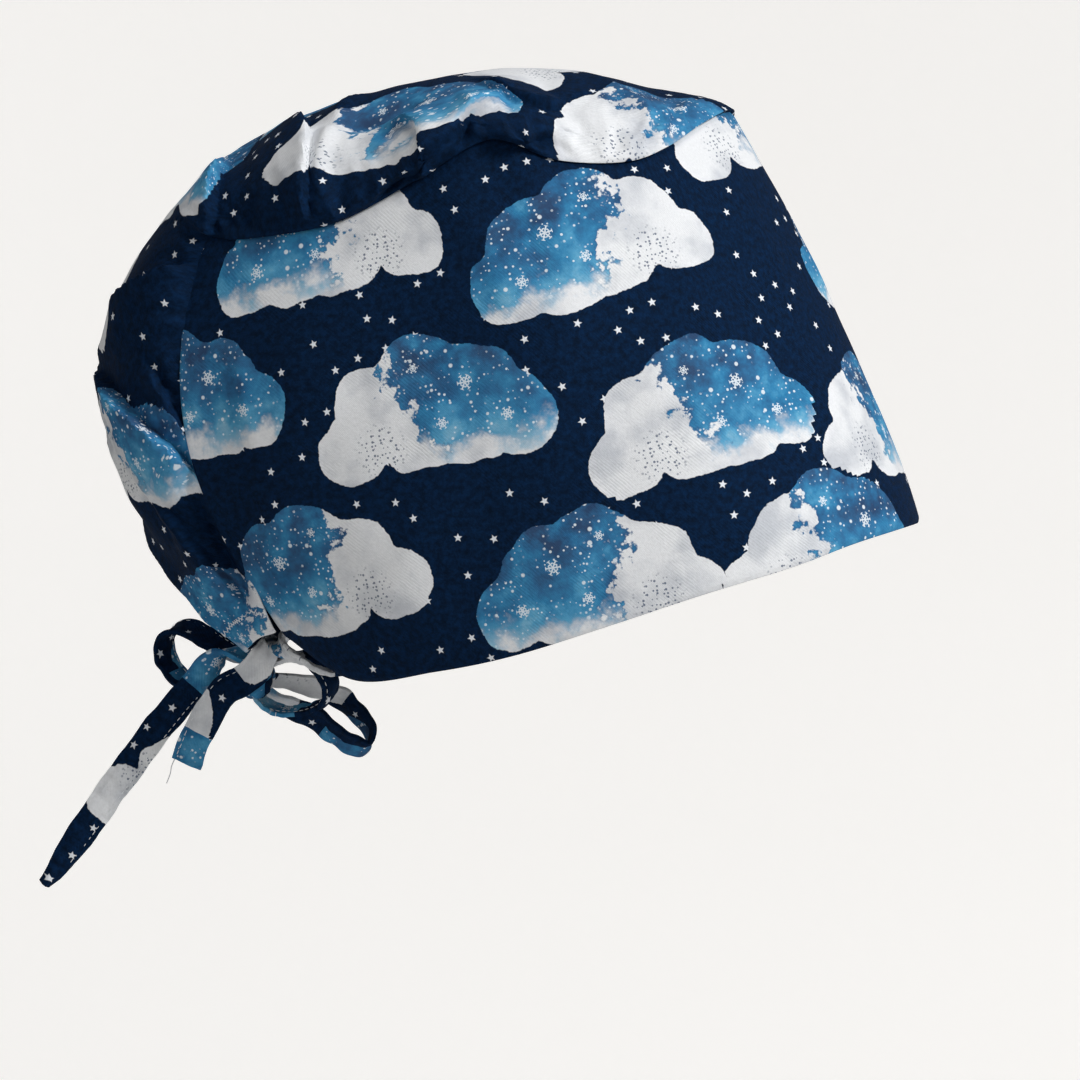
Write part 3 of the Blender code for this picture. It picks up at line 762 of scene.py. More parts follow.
for centre_x, centre_y, radius in CRYSTALS_MM:
    centre = (centre_x, centre_y, 0.0)
    arm_place = add_node(cloud, "ShaderNodeVectorMath", paint_flat, centre, operation="SUBTRACT")
    arm_x, arm_y, _ = parts_of(cloud, arm_place)
    angle = calc(cloud, "ARCTAN2", arm_y, arm_x)
    off_arm = calc(cloud, "PINGPONG", angle, math.pi / 6)
    reach = add_node(cloud, "ShaderNodeVectorMath", arm_place, operation="LENGTH", output=1)
    aside = times(cloud, reach, calc(cloud, "SINE", off_arm))
    bars = calc(cloud, "PINGPONG", minus(cloud, reach, times(cloud, aside, 0.6)), radius * 0.22)
    on_bar = calc(cloud, "LESS_THAN", bars, radius * 0.07)
    twigs = times(cloud, on_bar, calc(cloud, "LESS_THAN", aside, radius * 0.3))
    lines = calc(cloud, "MAXIMUM", calc(cloud, "LESS_THAN", aside, radius * 0.09), twigs)
    crystal = times(cloud, lines, calc(cloud, "LESS_THAN", reach, radius))
    crystal_mask = calc(cloud, "MAXIMUM", crystal_mask, times(cloud, crystal, wash_mask))
cloud_colour = mixed(cloud, times(cloud, crystal_mask, 0.85), cloud_colour, srgb(226, 234, 240))
cloud.links.new(cloud_colour, cloud_out.inputs["Colour"])
cloud.links.new(cloud_mask, cloud_out.inputs["Mask"])
print("cloud group:", len(cloud.nodes), "nodes")

# %% [markdown]
# ## The small star
#
# A five-pointed star is one straight edge repeated ten times. The angle round the centre is folded into a
# tenth of a turn, and the distance to that one edge says what is inside.

# %% Star group
STAR_TIP_MM = 1.5
STAR_DENT_MM = 0.68

star, star_in, star_out = new_group("small star", {"Place": "Vector"}, {"Mask": "Float"})
place = star_in.outputs["Place"]
star_place = add_node(star, "ShaderNodeVectorMath", place, (1.0, 1.0, 0.0), operation="MULTIPLY")
star_x, star_y, star_shown = parts_of(star, place)
star_angle = calc(star, "ARCTAN2", star_x, star_y)
folded = calc(star, "PINGPONG", star_angle, math.pi / 5)
star_reach = add_node(star, "ShaderNodeVectorMath", star_place, operation="LENGTH", output=1)
outward_part = times(star, star_reach, calc(star, "COSINE", folded))
sideways_part = times(star, star_reach, calc(star, "SINE", folded))
dent = Vector((STAR_DENT_MM * math.cos(math.pi / 5), STAR_DENT_MM * math.sin(math.pi / 5)))
edge = (dent - Vector((STAR_TIP_MM, 0.0))).normalized()
edge_out = Vector((edge.y, -edge.x))
tip_gap = times(star, minus(star, outward_part, STAR_TIP_MM), edge_out.x)
star_gap = plus(star, tip_gap, times(star, sideways_part, edge_out.y))
star_mask = times(star, ramp_between(star, star_gap, 0.10, -0.10), star_shown)
star.links.new(star_mask, star_out.inputs["Mask"])
print("star group:", len(star.nodes), "nodes")

# %% [markdown]
# ## The cloths
#
# The printed cotton puts the star and the cloud on a navy ground that is a little uneven, as dyed cloth
# is. Its inner face, where the band is faced, is the same navy without the print. Sewing thread is a
# plain white cotton.


# %% Printed cotton and facing
NAVY_DARK = srgb(1, 18, 38)
NAVY_LIGHT = srgb(7, 38, 73)
STAR_WHITE = srgb(226, 230, 236)
COTTON_SHINE = 0.08  # very little, because cotton is matt


def cloth_material(name, printed):
    """A cotton with the weave's grain, with the print or as plain navy facing."""
    material = bpy.data.materials.new(name)
    material.use_nodes = True
    tree = material.node_tree
    shader = tree.nodes["Principled BSDF"]
    thread_map = tree.nodes.new("ShaderNodeUVMap")
    thread_map.uv_map = "threads"
    shade_out, height_out = use_group(tree, weave, thread_map.outputs[0])
    dye = noise(tree, thread_map.outputs[0], 4.2, 6.0, 0.72)
    colour = mixed(tree, ramp_between(tree, dye, 0.30, 0.75), NAVY_DARK, NAVY_LIGHT)
    if printed:
        star_at = add_node(tree, "ShaderNodeAttribute", output=1, attribute_name="star_place")
        cloud_at = add_node(tree, "ShaderNodeAttribute", output=1, attribute_name="cloud_place")
        (star_here,) = use_group(tree, star, star_at)
        cloud_paint, cloud_here = use_group(tree, cloud, cloud_at)
        colour = mixed(tree, star_here, colour, STAR_WHITE)
        colour = mixed(tree, cloud_here, colour, cloud_paint)
    grain = tree.nodes.new("ShaderNodeCombineColor")
    for socket in grain.inputs:
        if socket.name in ("Red", "Green", "Blue"):
            tree.links.new(shade_out, socket)
    tree.links.new(mixed(tree, 1.0, colour, grain.outputs[0], "MULTIPLY"), shader.inputs["Base Color"])
    tree.links.new(ramp_between(tree, dye, 0.2, 0.8, 0.78, 0.92), shader.inputs["Roughness"])
    bump = tree.nodes.new("ShaderNodeBump")
    bump.inputs["Strength"].default_value = 1.0
    bump.inputs["Distance"].default_value = MM
    tree.links.new(height_out, bump.inputs["Height"])
    tree.links.new(bump.outputs[0], shader.inputs["Normal"])
    shader.inputs["Specular IOR Level"].default_value = COTTON_SHINE
    return material


band_print = cloth_material("printed cotton of the band", True)
crown_print = cloth_material("printed cotton of the crown", True)
tie_print = cloth_material("printed cotton of the ties", True)
facing = cloth_material("navy facing", False)

thread_white = bpy.data.materials.new("white sewing thread")
thread_white.use_nodes = True
thread_tree = thread_white.node_tree
thread_shader = thread_tree.nodes["Principled BSDF"]
thread_place = thread_tree.nodes.new("ShaderNodeTexCoord").outputs["Object"]
ply = add_node(
    thread_tree, "ShaderNodeTexWave", thread_place, 4200.0, 2.0, output=1, bands_direction="DIAGONAL"
)
thread_white_colour = mixed(thread_tree, ply, srgb(204, 208, 214), srgb(240, 242, 244))
thread_tree.links.new(thread_white_colour, thread_shader.inputs["Base Color"])
thread_shader.inputs["Roughness"].default_value = 0.7
print("cloths:", band_print.name, "/", crown_print.name, "/", tie_print.name, "/", facing.name)

# %% [markdown]
# ## The band
#
# The band is one deep strip, stretched round the head from one back edge to the other. It is smooth over
# the temples, with soft drags towards the ties, and both of its long edges are turned in, so they curl
# slightly inwards. The dark strip under the front hem is its facing.

# %% Band shape
BAND_COLUMNS = 300
BAND_LINES = 104
# station, share at three points of each crease, then height, broad side and steep side in millimetres
BAND_FOLDS = (
    (-8.7, 0.05, -8.2, 0.40, -8.4, 0.85, 1.2, 12, 7),
    (-7.9, 0.02, -7.0, 0.22, -6.0, 0.45, 0.9, 12, 9),
    (-8.5, 0.10, -7.9, 0.30, -7.1, 0.62, -0.8, 10, 8),
    (-5.9, 0.99, -5.5, 0.86, -5.2, 0.66, 1.5, 11, 8),
    (-5.2, 0.98, -4.8, 0.85, -4.6, 0.70, -1.0, 8, 6),
    (-3.2, 0.05, -3.4, 0.25, -3.8, 0.50, 0.6, 16, 14),
    (-2.6, 0.99, -2.3, 0.90, -1.8, 0.78, 0.9, 9, 6),
    (-1.0, 0.97, -0.9, 0.80, -1.2, 0.55, 0.6, 10, 9),
    (0.9, 0.97, 1.0, 0.80, 1.3, 0.60, -0.5, 10, 9),
    (2.7, 0.98, 2.4, 0.88, 2.0, 0.72, 0.8, 9, 7),
    (4.9, 0.99, 4.7, 0.85, 4.4, 0.66, 1.1, 10, 8),
    (6.3, 0.45, 7.2, 0.22, 8.0, 0.04, 0.9, 12, 9),
    (8.6, 0.10, 8.2, 0.40, 8.4, 0.85, 1.1, 12, 7),
)

band_mesh, band_x, band_y = flat_grid("band_cloth", BAND_COLUMNS, BAND_LINES)
band_station = (2 * eased(band_x, 0.3) - 1) * LAST_STATION
band_share = eased(band_y)
band_points = band_base(band_station, band_share)
band_normals = -outward(band_base, band_station, band_share)
inner_part = np.clip(4 * band_share * (1 - band_share), 0, 1) ** 0.5
band_lift = fold_height(band_points, band_base, BAND_FOLDS) * inner_part
band_lift += ripples(band_points, 58, 3, (1.0, 1.0, 0.55)) * 0.8 * MM * inner_part
band_lift += ripples(band_points, 24, 4) * 0.16 * MM * inner_part
print("band: lift from", round(band_lift.min() / MM, 2), "to", round(band_lift.max() / MM, 2), "mm")

# %% Band threads and turned edges
EDGE_CURL_MM = 0.7
PUCKER_WAVE_MM = 5.3
PUCKER_MM = 0.14

station_steps = np.linspace(-LAST_STATION, LAST_STATION, 361)
hem_line = band_base(station_steps, 0 * station_steps)
top_line = band_base(station_steps, 0 * station_steps + 1)
hem_run = run_of(steps_of(hem_line[:, :2]))
level_way = unit(np.gradient(hem_line, axis=0) * np.array([1, 1, 0]))
rise = top_line - hem_line
slant = np.sum(rise * level_way, axis=1)
depth = np.sqrt(np.sum(rise**2, axis=1) - slant**2)
column_run, column_slant, column_low, column_depth = (
    np.interp(band_station, station_steps, values) for values in (hem_run, slant, hem_line[:, 2], depth)
)
band_u = column_run + column_slant * band_share
band_v = column_low + column_depth * band_share
band_chart = np.column_stack([band_u, band_v]) / MM
from_hem = band_share * column_depth / MM
from_top = (1 - band_share) * column_depth / MM
hem_curl = EDGE_CURL_MM * np.exp(-(from_hem / 1.1) ** 2)
seam_curl = EDGE_CURL_MM * np.exp(-(from_top / 1.3) ** 2)
puckers = np.sin(band_u / MM * 2 * np.pi / PUCKER_WAVE_MM + 2 * ripples(band_points, 15, 8)) * PUCKER_MM
seam_near = np.exp(-from_top / 3.5)
band_lift += (puckers * seam_near - hem_curl - seam_curl) * MM
band_shape = band_points + band_normals * band_lift[:, None]
print("band cut flat, mm:", np.round(np.ptp(band_chart, axis=0)))

# %% Band print
CLOUD_PITCH_MM = 94.0
CLOUD_ROW_MM = 57.0
ROW_SHIFT = 0.42  # of the pitch, in every other row
FIRST_CLOUD_MM = (28.0, 12.0)
OFF_CLOTH_MM = 20  # a place in the rows that falls further than this off the cloth holds no cloud


def cloud_target(first, row, column):
    """Where the centre of a printed cloud falls on the flat cloth, in millimetres."""
    aside = first[0] + (column + ROW_SHIFT * (row % 2)) * CLOUD_PITCH_MM
    return np.array([aside, first[1] + row * CLOUD_ROW_MM])


picked, turns = [], []
for row in (2, 1, 3, 0, 4, -1):
    for column in range(-1, 9):
        target = cloud_target(FIRST_CLOUD_MM, row, column)
        gap = np.linalg.norm(band_chart - target, axis=1)
        if gap.min() < OFF_CLOTH_MM:
            take_cloud(band_shape, band_normals, int(np.argmin(gap)), 1 if row % 2 else -1, picked, turns)
fill_with_clouds(band_shape, band_normals, picked, turns, 7)
lay_clouds(band_mesh, band_shape, band_normals, picked, turns, 1)
star_count = lay_stars(band_mesh, band_shape, band_normals, 5)
write_thread_map(band_mesh, band_chart)
band_cloth = finish_cloth(band_mesh, band_shape, [band_print, facing], SHEET_WALL_MM, WALL_INWARDS)
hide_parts("band")
print("clouds on the band:", len(picked), " stars:", star_count)

# %% [markdown]
# ## The crown and its pouch
#
# The crown is one large panel, eased on to a seam shorter than its own edge. It stands up along the seam
# in soft gathers, laps over itself where the back edge of the band begins, and hangs in crisp diagonal
# folds down to the nape. These folds make the cap look like cloth, so they get the finest grid.

# %% Crown shape
CROWN_COLUMNS = 196
CROWN_LINES = 238
# arch, across at three points of each crease, then height, broad side and steep side in millimetres
CROWN_FOLDS = (
    # near side: the gathers over the seam, from the back corner to the front
    (7.42, -0.98, 7.15, -0.62, 7.25, -0.28, 4.6, 13, 3.0),
    (8.95, -0.98, 8.40, -0.60, 8.20, -0.25, 4.3, 13, 3.0),
    (8.3, -0.97, 7.95, -0.62, 7.9, -0.20, -2.9, 10, 8),
    (7.2, -0.97, 6.9, -0.62, 6.6, -0.25, 5.2, 9, 5),
    (6.9, -0.45, 6.4, -0.52, 5.9, -0.50, -5.8, 7, 5),
    (6.7, -0.99, 6.1, -0.86, 5.4, -0.84, 5.5, 9, 3.0),
    (6.2, -0.60, 5.8, -0.72, 5.9, -0.97, 4.6, 8, 3.0),
    (5.6, -0.98, 5.35, -0.80, 4.8, -0.62, 5.4, 8, 3.6),
    (5.0, -0.46, 4.4, -0.60, 3.8, -0.52, 3.5, 10, 3.4),
    (4.6, -0.98, 4.45, -0.86, 3.9, -0.80, 4.2, 8, 3.6),
    (3.6, -0.20, 2.6, -0.52, 1.6, -0.88, 2.9, 9, 4.5),
    (4.4, -0.25, 3.8, -0.60, 3.2, -0.90, -2.6, 9, 6),
    (2.2, -0.10, 1.7, -0.45, 0.9, -0.80, -1.7, 9, 6),
    # near side of the pouch: the lap below the back corner, then the crisp diagonal folds down to the nape
    (9.72, -0.99, 10.10, -0.74, 10.36, -0.42, 4.9, 14, 3.0),
    (11.2, 0.05, 10.9, -0.40, 10.6, -0.62, 2.6, 12, 6),
    (13.3, -0.99, 12.25, -0.78, 11.4, -0.28, 5.8, 15, 3.0),
    (12.5, -0.985, 11.8, -0.92, 11.1, -0.80, 3.8, 8, 3.0),
    (15.2, -0.97, 14.2, -0.92, 13.3, -0.86, -3.2, 9, 7),
    (12.0, -0.15, 12.9, -0.42, 14.0, -0.58, -4.3, 12, 8),
    (15.8, -0.50, 14.5, -0.30, 13.4, -0.08, 4.3, 13, 4.5),
    (14.0, 0.25, 15.0, 0.14, 15.9, 0.05, -3.2, 9, 6),
    (15.8, -0.82, 14.4, -0.76, 13.1, -0.60, 3.2, 9, 2.6),
    (12.2, -0.93, 13.6, -0.93, 15.3, -0.94, -6.0, 7, 5),
    # far side, with folds of its own
    (7.2, 0.05, 7.3, 0.55, 7.5, 0.97, 4.1, 6, 13),
    (8.2, 0.15, 8.6, 0.55, 8.9, 0.97, 4.3, 3.0, 13),
    (6.3, 0.30, 5.9, 0.50, 5.3, 0.70, -4.6, 9, 6),
    (4.9, 0.74, 5.8, 0.80, 6.4, 0.97, 5.2, 3.0, 11),
    (5.0, 0.60, 4.6, 0.80, 4.4, 0.97, 3.8, 7, 4),
    (1.4, 0.92, 2.2, 0.55, 3.0, 0.20, 2.8, 5, 9),
    (10.6, 0.38, 10.0, 0.75, 9.6, 0.99, 4.6, 3.0, 12),
    (11.1, 0.10, 12.0, 0.70, 13.2, 0.97, 5.5, 3.0, 13),
    (12.4, 0.80, 13.4, 0.93, 14.8, 0.98, 3.5, 3.0, 9),
    (12.2, 0.35, 13.4, 0.50, 14.8, 0.60, -3.8, 9, 9),
    (13.2, 0.55, 14.4, 0.42, 15.8, 0.36, 4.1, 10, 5),
    (12.2, 0.93, 13.6, 0.93, 15.3, 0.94, -5.0, 7, 5),
)

PUFF_PEAK_MM = 5.0  # where a puff over the seam stands highest
MOUTH_DROP_MM = 5.2  # how far the pouch's hem hangs below a plain arch, down to the corners of the band
# arch, 1 for the near side or -1, width in arches, size in millimetres
SEAM_PUFFS = (
    (4.70, 1, 0.42, 4.8), (5.92, 1, 0.36, 6.2), (6.95, 1, 0.40, 3.0), (2.9, 1, 0.5, 1.6),
    (3.4, -1, 0.4, 2.2), (4.6, -1, 0.4, 3.4), (5.6, -1, 0.36, 2.6),
)

crown_mesh, crown_x, crown_y = flat_grid("crown_cloth", CROWN_COLUMNS, CROWN_LINES)
crown_across = 2 * eased(crown_x, 0.45) - 1
arch_steps = np.linspace(0.04, LAST_ARCH, 400)
ridge_line = crown_base(arch_steps, 0 * arch_steps)
side_line = crown_base(arch_steps, 0 * arch_steps - 0.999)
arch_run = run_of(steps_of(ridge_line) + steps_of(side_line))
crown_number = np.interp(crown_y, arch_run / arch_run[-1], arch_steps)
crown_points = crown_base(crown_number, crown_across)
crown_normals = outward(crown_base, crown_number, crown_across, 0.03)
crown_lift = fold_height(crown_points, crown_base, CROWN_FOLDS)
print("crown: folds from", round(crown_lift.min() / MM, 2), "to", round(crown_lift.max() / MM, 2), "mm")

# %% Gathers along the crown's seam
GATHER_WAVES_MM = (11.0, 6.1)
GATHER_REACH_MM = 13.0  # how far the gathers run up from the seam
GATHER_MM = 1.25

width_count = CROWN_COLUMNS + 1  # points in one line of the grid
crown_rows = crown_points.reshape(-1, width_count, 3)
arch_step_mm = np.linalg.norm(np.diff(crown_rows, axis=1), axis=2) / MM
arch_place = np.concatenate([np.zeros((len(crown_rows), 1)), np.cumsum(arch_step_mm, axis=1)], axis=1)
middle_column = CROWN_COLUMNS // 2
crown_b = (arch_place - arch_place[:, middle_column : middle_column + 1]).ravel()
from_seam = np.minimum(arch_place, arch_place[:, -1:] - arch_place).ravel()
crown_a = np.interp(crown_number, arch_steps, run_of(steps_of(ridge_line))) / MM
crown_chart = np.column_stack([crown_a, crown_b])
seam_run = np.interp(crown_number, arch_steps, run_of(steps_of(side_line))) / MM
broad_phase = 2.6 * ripples(crown_points, 34, 21) + np.sign(crown_across)
gather_wave = np.sin(seam_run * 2 * np.pi / GATHER_WAVES_MM[0] + broad_phase)
gather_wave += 0.6 * np.sin(seam_run * 2 * np.pi / GATHER_WAVES_MM[1] + 3.1 * ripples(crown_points, 22, 22))
gather_fade = np.exp(-from_seam / GATHER_REACH_MM) * (1 - np.exp(-from_seam / 1.6))
crown_lift += gather_wave * gather_fade * GATHER_MM * MM
back_share = np.clip((crown_number - 8.5) / 3, 0, 1)
crown_lift += ripples(crown_points, 46, 23) * (0.5 + 0.5 * back_share) * MM
crown_lift += ripples(crown_points, 17, 24, (1.0, 1.0, 0.6)) * (0.16 + 0.22 * back_share) * MM
front_fade = np.clip(crown_number / 1.6, 0, 1)
seam_fade = 1 - np.exp(-((from_seam / 2.5) ** 2))
nape_fade = np.clip((LAST_ARCH - crown_number) / 0.5, 0.35, 1)
crown_lift *= front_fade * seam_fade * nape_fade
crown_shape = crown_points + crown_normals * crown_lift[:, None]
print("crown cut flat, mm:", np.round(np.ptp(crown_chart, axis=0)))

# %% Tucked edge, puffs and the pouch's mouth
side = np.where(crown_across < 0, -1.0, 1.0)
foot_station = np.interp(crown_number, range(LAST_ARCH + 1), CROWN_ROWS[:, 0])
foot_share = np.interp(crown_number, range(LAST_ARCH + 1), CROWN_ROWS[:, 1])
edge = band_base(side * foot_station, foot_share)
edge_up = unit(edge - band_base(side * foot_station, foot_share - 0.02))
edge_back = unit(edge - band_base(side * (foot_station - 0.02), foot_share))
edge_out = -outward(band_base, side * foot_station, foot_share)
on_top = np.clip((LAST_STATION - crown_number) / 0.5, 0, 1)[:, None]
rolling = (edge_out * 1.0 - edge_up * 2.1) * on_top - (edge_out * 1.1 + edge_back * 2.8) * (1 - on_top)
crown_shape += rolling * np.exp(-((from_seam / 3.0) ** 2))[:, None] * MM
puff = np.zeros(len(crown_number))
for arch, near_side, width, size in SEAM_PUFFS:
    puff += size * np.exp(-(((crown_number - arch) / width) ** 2)) * (crown_across * near_side < 0)
puff *= (from_seam / PUFF_PEAK_MM * np.exp(1 - from_seam / PUFF_PEAK_MM)) ** 1.5
crown_shape += (edge_out * 0.9 - edge_up * 1.3) * puff[:, None] * MM
mouth = np.exp(-(((LAST_ARCH - crown_number) / 0.6) ** 2)) * (1 - (1 - np.abs(crown_across)) ** 3)
crown_shape[:, 2] -= MOUTH_DROP_MM * mouth * MM
crown_leaned = crown_shape + lap_lean(crown_points, crown_base, CROWN_FOLDS) * seam_fade[:, None]
print("highest puff over the seam, mm:", round(float(puff.max()), 1))

# %% Crown print
CROWN_FIRST_CLOUDS_MM = {-1: (24.0, -4.0), 1: (66.0, 18.0)}  # the wearer's right side and left side
OFF_CROWN_MM = 14

foot_points = np.where(
    (crown_across < 0)[:, None],
    np.repeat(crown_rows[:, 0], width_count, axis=0),
    np.repeat(crown_rows[:, -1], width_count, axis=0),
)
top_points = np.repeat(crown_rows[:, middle_column], width_count, axis=0)
fan_way = unit((top_points - foot_points)[:, 1:])
fan_chart = foot_points[:, 1:] / MM + fan_way * from_seam[:, None]
picked, turns = [], []
for side, first_cloud in CROWN_FIRST_CLOUDS_MM.items():
    mine = np.where(np.sign(crown_across) == side)[0]
    for row in range(-1, 6):
        for column in range(-2, 4):
            gap = np.linalg.norm(fan_chart[mine] - cloud_target(first_cloud, row, column), axis=1)
            if gap.min() <= OFF_CROWN_MM:
                nearest = int(mine[np.argmin(gap)])
                take_cloud(crown_shape, crown_normals, nearest, 1 if row % 2 else -1, picked, turns)
fill_with_clouds(crown_shape, crown_normals, picked, turns, 8)
slipped = print_slip(crown_shape, crown_base, CROWN_FOLDS)
lay_clouds(crown_mesh, slipped, crown_normals, picked, turns, 2)
star_count = lay_stars(crown_mesh, crown_shape, crown_normals, 6)
write_thread_map(crown_mesh, crown_chart)
crown_cloth = finish_cloth(crown_mesh, crown_leaned, [crown_print, facing], SHEET_WALL_MM, WALL_INWARDS)
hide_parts("crown")
print("clouds on the crown:", len(picked), " stars:", star_count)

# %% [markdown]
# ## The ties
#
# Each tie is a strip folded in four and stitched along one edge, about eleven millimetres wide. Ties are
# stiff for their size, so the bow keeps its loops. They are modelled directly along the routes of the
# solids: a cross-section that is slightly cupped, edges that roll, and small kinks where the strip was
# pressed.

# %% Routes of the ties
TIE_WIDTH_MM = 11.0
TIE_WALL_MM = 1.5
TIE_CUP_MM = 0.5
TIE_PACE_MM = 0.7  # one column of a tie's grid
TIE_LINES = 14
TIE_STAR_PACE_MM = 11.0
ROLLED_ENDS_MM = {"long_tail": 2.6}
HEMMED_ENDS_MM = {"right_tie": 0.8}
TIE_STATION = 8.3
TIE_GAP = 0.0003
KNOT_DROP = 0.0134
KNOT_OFFSET = 0.0040
# Shares of the way to the knot: inward, back, rise; then the flat's direction back, inward, up; the width.
RIGHT_LEAD = (
    (0.095, -0.020, 0.000, 0.05, 0.95, 0.00, 0.90),
    (0.205, 0.239, 0.035, 0.15, 0.95, -0.20, 0.90),
    (0.310, 0.414, 0.081, 0.10, 0.95, -0.25, 0.90),
    (0.460, 0.589, 0.130, 0.50, 0.75, -0.10, 0.85),
    (0.655, 0.713, 0.145, 0.60, 0.70, 0.00, 0.80),
    (0.789, 0.790, 0.115, 0.60, 0.60, 0.20, 0.80),
    (0.835, 0.850, 0.070, 0.75, 0.30, 0.45, 0.90),
)
LEFT_LEAD = (
    (0.095, -0.020, 0.015, 0.05, 0.95, 0.00, 0.90),
    (0.250, 0.290, 0.020, 0.30, 0.90, -0.10, 0.95),
    (0.500, 0.620, 0.020, 0.60, 0.65, -0.05, 0.95),
    (0.750, 0.840, 0.022, 0.80, 0.40, 0.05, 0.85),
    (1.000, 1.000, 0.005, 0.85, 0.30, 0.10, 0.70),
)
# From the knot's centre, in shares of each one's reach: back, right, up; the flat's direction; the width.
FROM_KNOT = {
    "short_tail": (0.0396, (
        (-0.085, 0.205, 0.185, 0.78, -0.10, 0.60, 0.95),
        (-0.010, 0.205, 0.085, 0.78, 0.00, 0.62, 1.00),
        (0.095, 0.240, -0.010, 0.78, 0.00, 0.62, 1.00),
        (0.242, 0.278, -0.090, 0.80, 0.00, 0.60, 1.00),
        (0.364, 0.278, -0.265, 0.84, 0.00, 0.54, 1.00),
        (0.475, 0.253, -0.444, 0.87, 0.05, 0.48, 1.00),
        (0.558, 0.235, -0.629, 0.90, 0.08, 0.42, 1.00),
        (0.614, 0.227, -0.758, 0.90, 0.10, 0.40, 1.04),
    )),
    "long_tail": (0.1110, (
        (0.000, 0.010, 0.030, 0.10, 0.95, -0.30, 0.80),
        (0.040, 0.012, 0.072, 0.10, 0.95, -0.30, 0.80),
        (0.092, 0.025, 0.084, 0.20, 0.90, -0.10, 0.85),
        (0.137, 0.040, 0.058, 0.45, 0.60, 0.35, 0.90),
        (0.177, 0.054, 0.003, 0.70, 0.30, 0.60, 0.95),
        (0.256, 0.063, -0.087, 0.72, 0.10, 0.69, 0.95),
        (0.400, 0.075, -0.270, 0.78, 0.00, 0.62, 0.97),
        (0.571, 0.088, -0.508, 0.81, 0.10, 0.58, 0.90),
        (0.640, 0.090, -0.606, 0.76, 0.35, 0.54, 0.62),
        (0.690, 0.090, -0.673, 0.70, 0.50, 0.50, 0.28),
    )),
    "rear_loop": (0.0355, (
        (0.000, -0.130, 0.150, 0.25, 0.90, -0.25, 0.70),
        (0.170, -0.190, 0.185, 0.25, 0.90, -0.25, 0.80),
        (0.340, -0.220, 0.245, 0.30, 0.85, -0.35, 0.90),
        (0.650, -0.270, 0.400, 0.32, 0.82, -0.45, 0.95),
        (0.840, -0.295, 0.480, 0.34, 0.82, -0.42, 0.95),
        (0.990, -0.310, 0.460, 0.36, 0.84, -0.36, 0.95),
        (1.060, -0.310, 0.350, 0.38, 0.85, -0.30, 0.95),
        (1.050, -0.300, 0.210, 0.38, 0.85, -0.30, 0.95),
        (0.970, -0.290, 0.060, 0.36, 0.86, -0.28, 0.95),
        (0.850, -0.280, -0.050, 0.34, 0.86, -0.28, 0.95),
        (0.600, -0.240, -0.100, 0.30, 0.88, -0.25, 0.90),
        (0.350, -0.200, -0.085, 0.25, 0.90, -0.25, 0.85),
        (0.170, -0.180, -0.050, 0.25, 0.90, -0.25, 0.80),
        (0.000, -0.130, -0.010, 0.25, 0.90, -0.25, 0.70),
    )),
    "near_loop": (0.0310, (
        (0.000, 0.020, 0.100, 0.20, 0.90, -0.20, 0.70),
        (-0.150, 0.050, 0.180, 0.20, 0.90, -0.20, 0.75),
        (-0.360, 0.120, 0.260, 0.25, 0.90, -0.20, 0.80),
        (-0.600, 0.200, 0.290, 0.30, 0.88, -0.20, 0.85),
        (-0.810, 0.220, 0.160, 0.32, 0.86, -0.25, 0.90),
        (-0.920, 0.200, -0.020, 0.32, 0.86, -0.30, 0.90),
        (-0.860, 0.130, -0.210, 0.30, 0.86, -0.32, 0.90),
        (-0.660, 0.040, -0.320, 0.28, 0.88, -0.30, 0.90),
        (-0.400, -0.030, -0.370, 0.26, 0.90, -0.25, 0.85),
        (-0.160, -0.050, -0.340, 0.22, 0.92, -0.20, 0.80),
        (-0.020, -0.040, -0.240, 0.15, 0.95, -0.10, 0.75),
        (0.000, -0.030, 0.000, 0.10, 0.95, 0.00, 0.70),
    )),
    "nape_loop": (0.0480, (
        (0.000, -0.060, -0.080, -0.50, 0.40, 0.60, 0.50),
        (-0.040, -0.180, -0.140, -0.50, 0.40, 0.60, 0.60),
        (-0.150, -0.270, -0.220, -0.45, 0.45, 0.60, 0.85),
        (-0.300, -0.350, -0.290, -0.40, 0.50, 0.60, 0.95),
        (-0.480, -0.400, -0.430, -0.40, 0.55, 0.60, 0.95),
        (-0.630, -0.440, -0.530, -0.40, 0.60, 0.55, 0.95),
        (-0.710, -0.480, -0.540, -0.40, 0.65, 0.50, 0.95),
        (-0.730, -0.520, -0.470, -0.40, 0.65, 0.50, 0.95),
        (-0.660, -0.550, -0.340, -0.40, 0.60, 0.55, 0.95),
        (-0.500, -0.540, -0.190, -0.40, 0.55, 0.60, 0.95),
        (-0.320, -0.470, -0.100, -0.40, 0.50, 0.60, 0.85),
        (-0.160, -0.340, -0.045, -0.40, 0.45, 0.60, 0.70),
        (-0.040, -0.200, -0.020, -0.40, 0.40, 0.60, 0.55),
        (0.000, -0.060, 0.000, -0.40, 0.40, 0.60, 0.50),
    )),
}
nape_ridge = crown_base(np.array(float(LAST_ARCH)), np.array(0.0))
knot_centre = nape_ridge + np.array([-KNOT_OFFSET, 0.0, -KNOT_DROP])
print("knot's centre, mm:", np.round(knot_centre / MM))


def knot_route(name):
    """A route from the knot in world metres: place, direction of the flat and share of the width."""
    reach, rows = FROM_KNOT[name]
    back, right, up, flat_back, flat_right, flat_up, width = np.array(rows).T
    places = knot_centre + np.stack([-right, back, up], axis=1) * reach
    return np.column_stack([places, -flat_right, flat_back, flat_up, width])


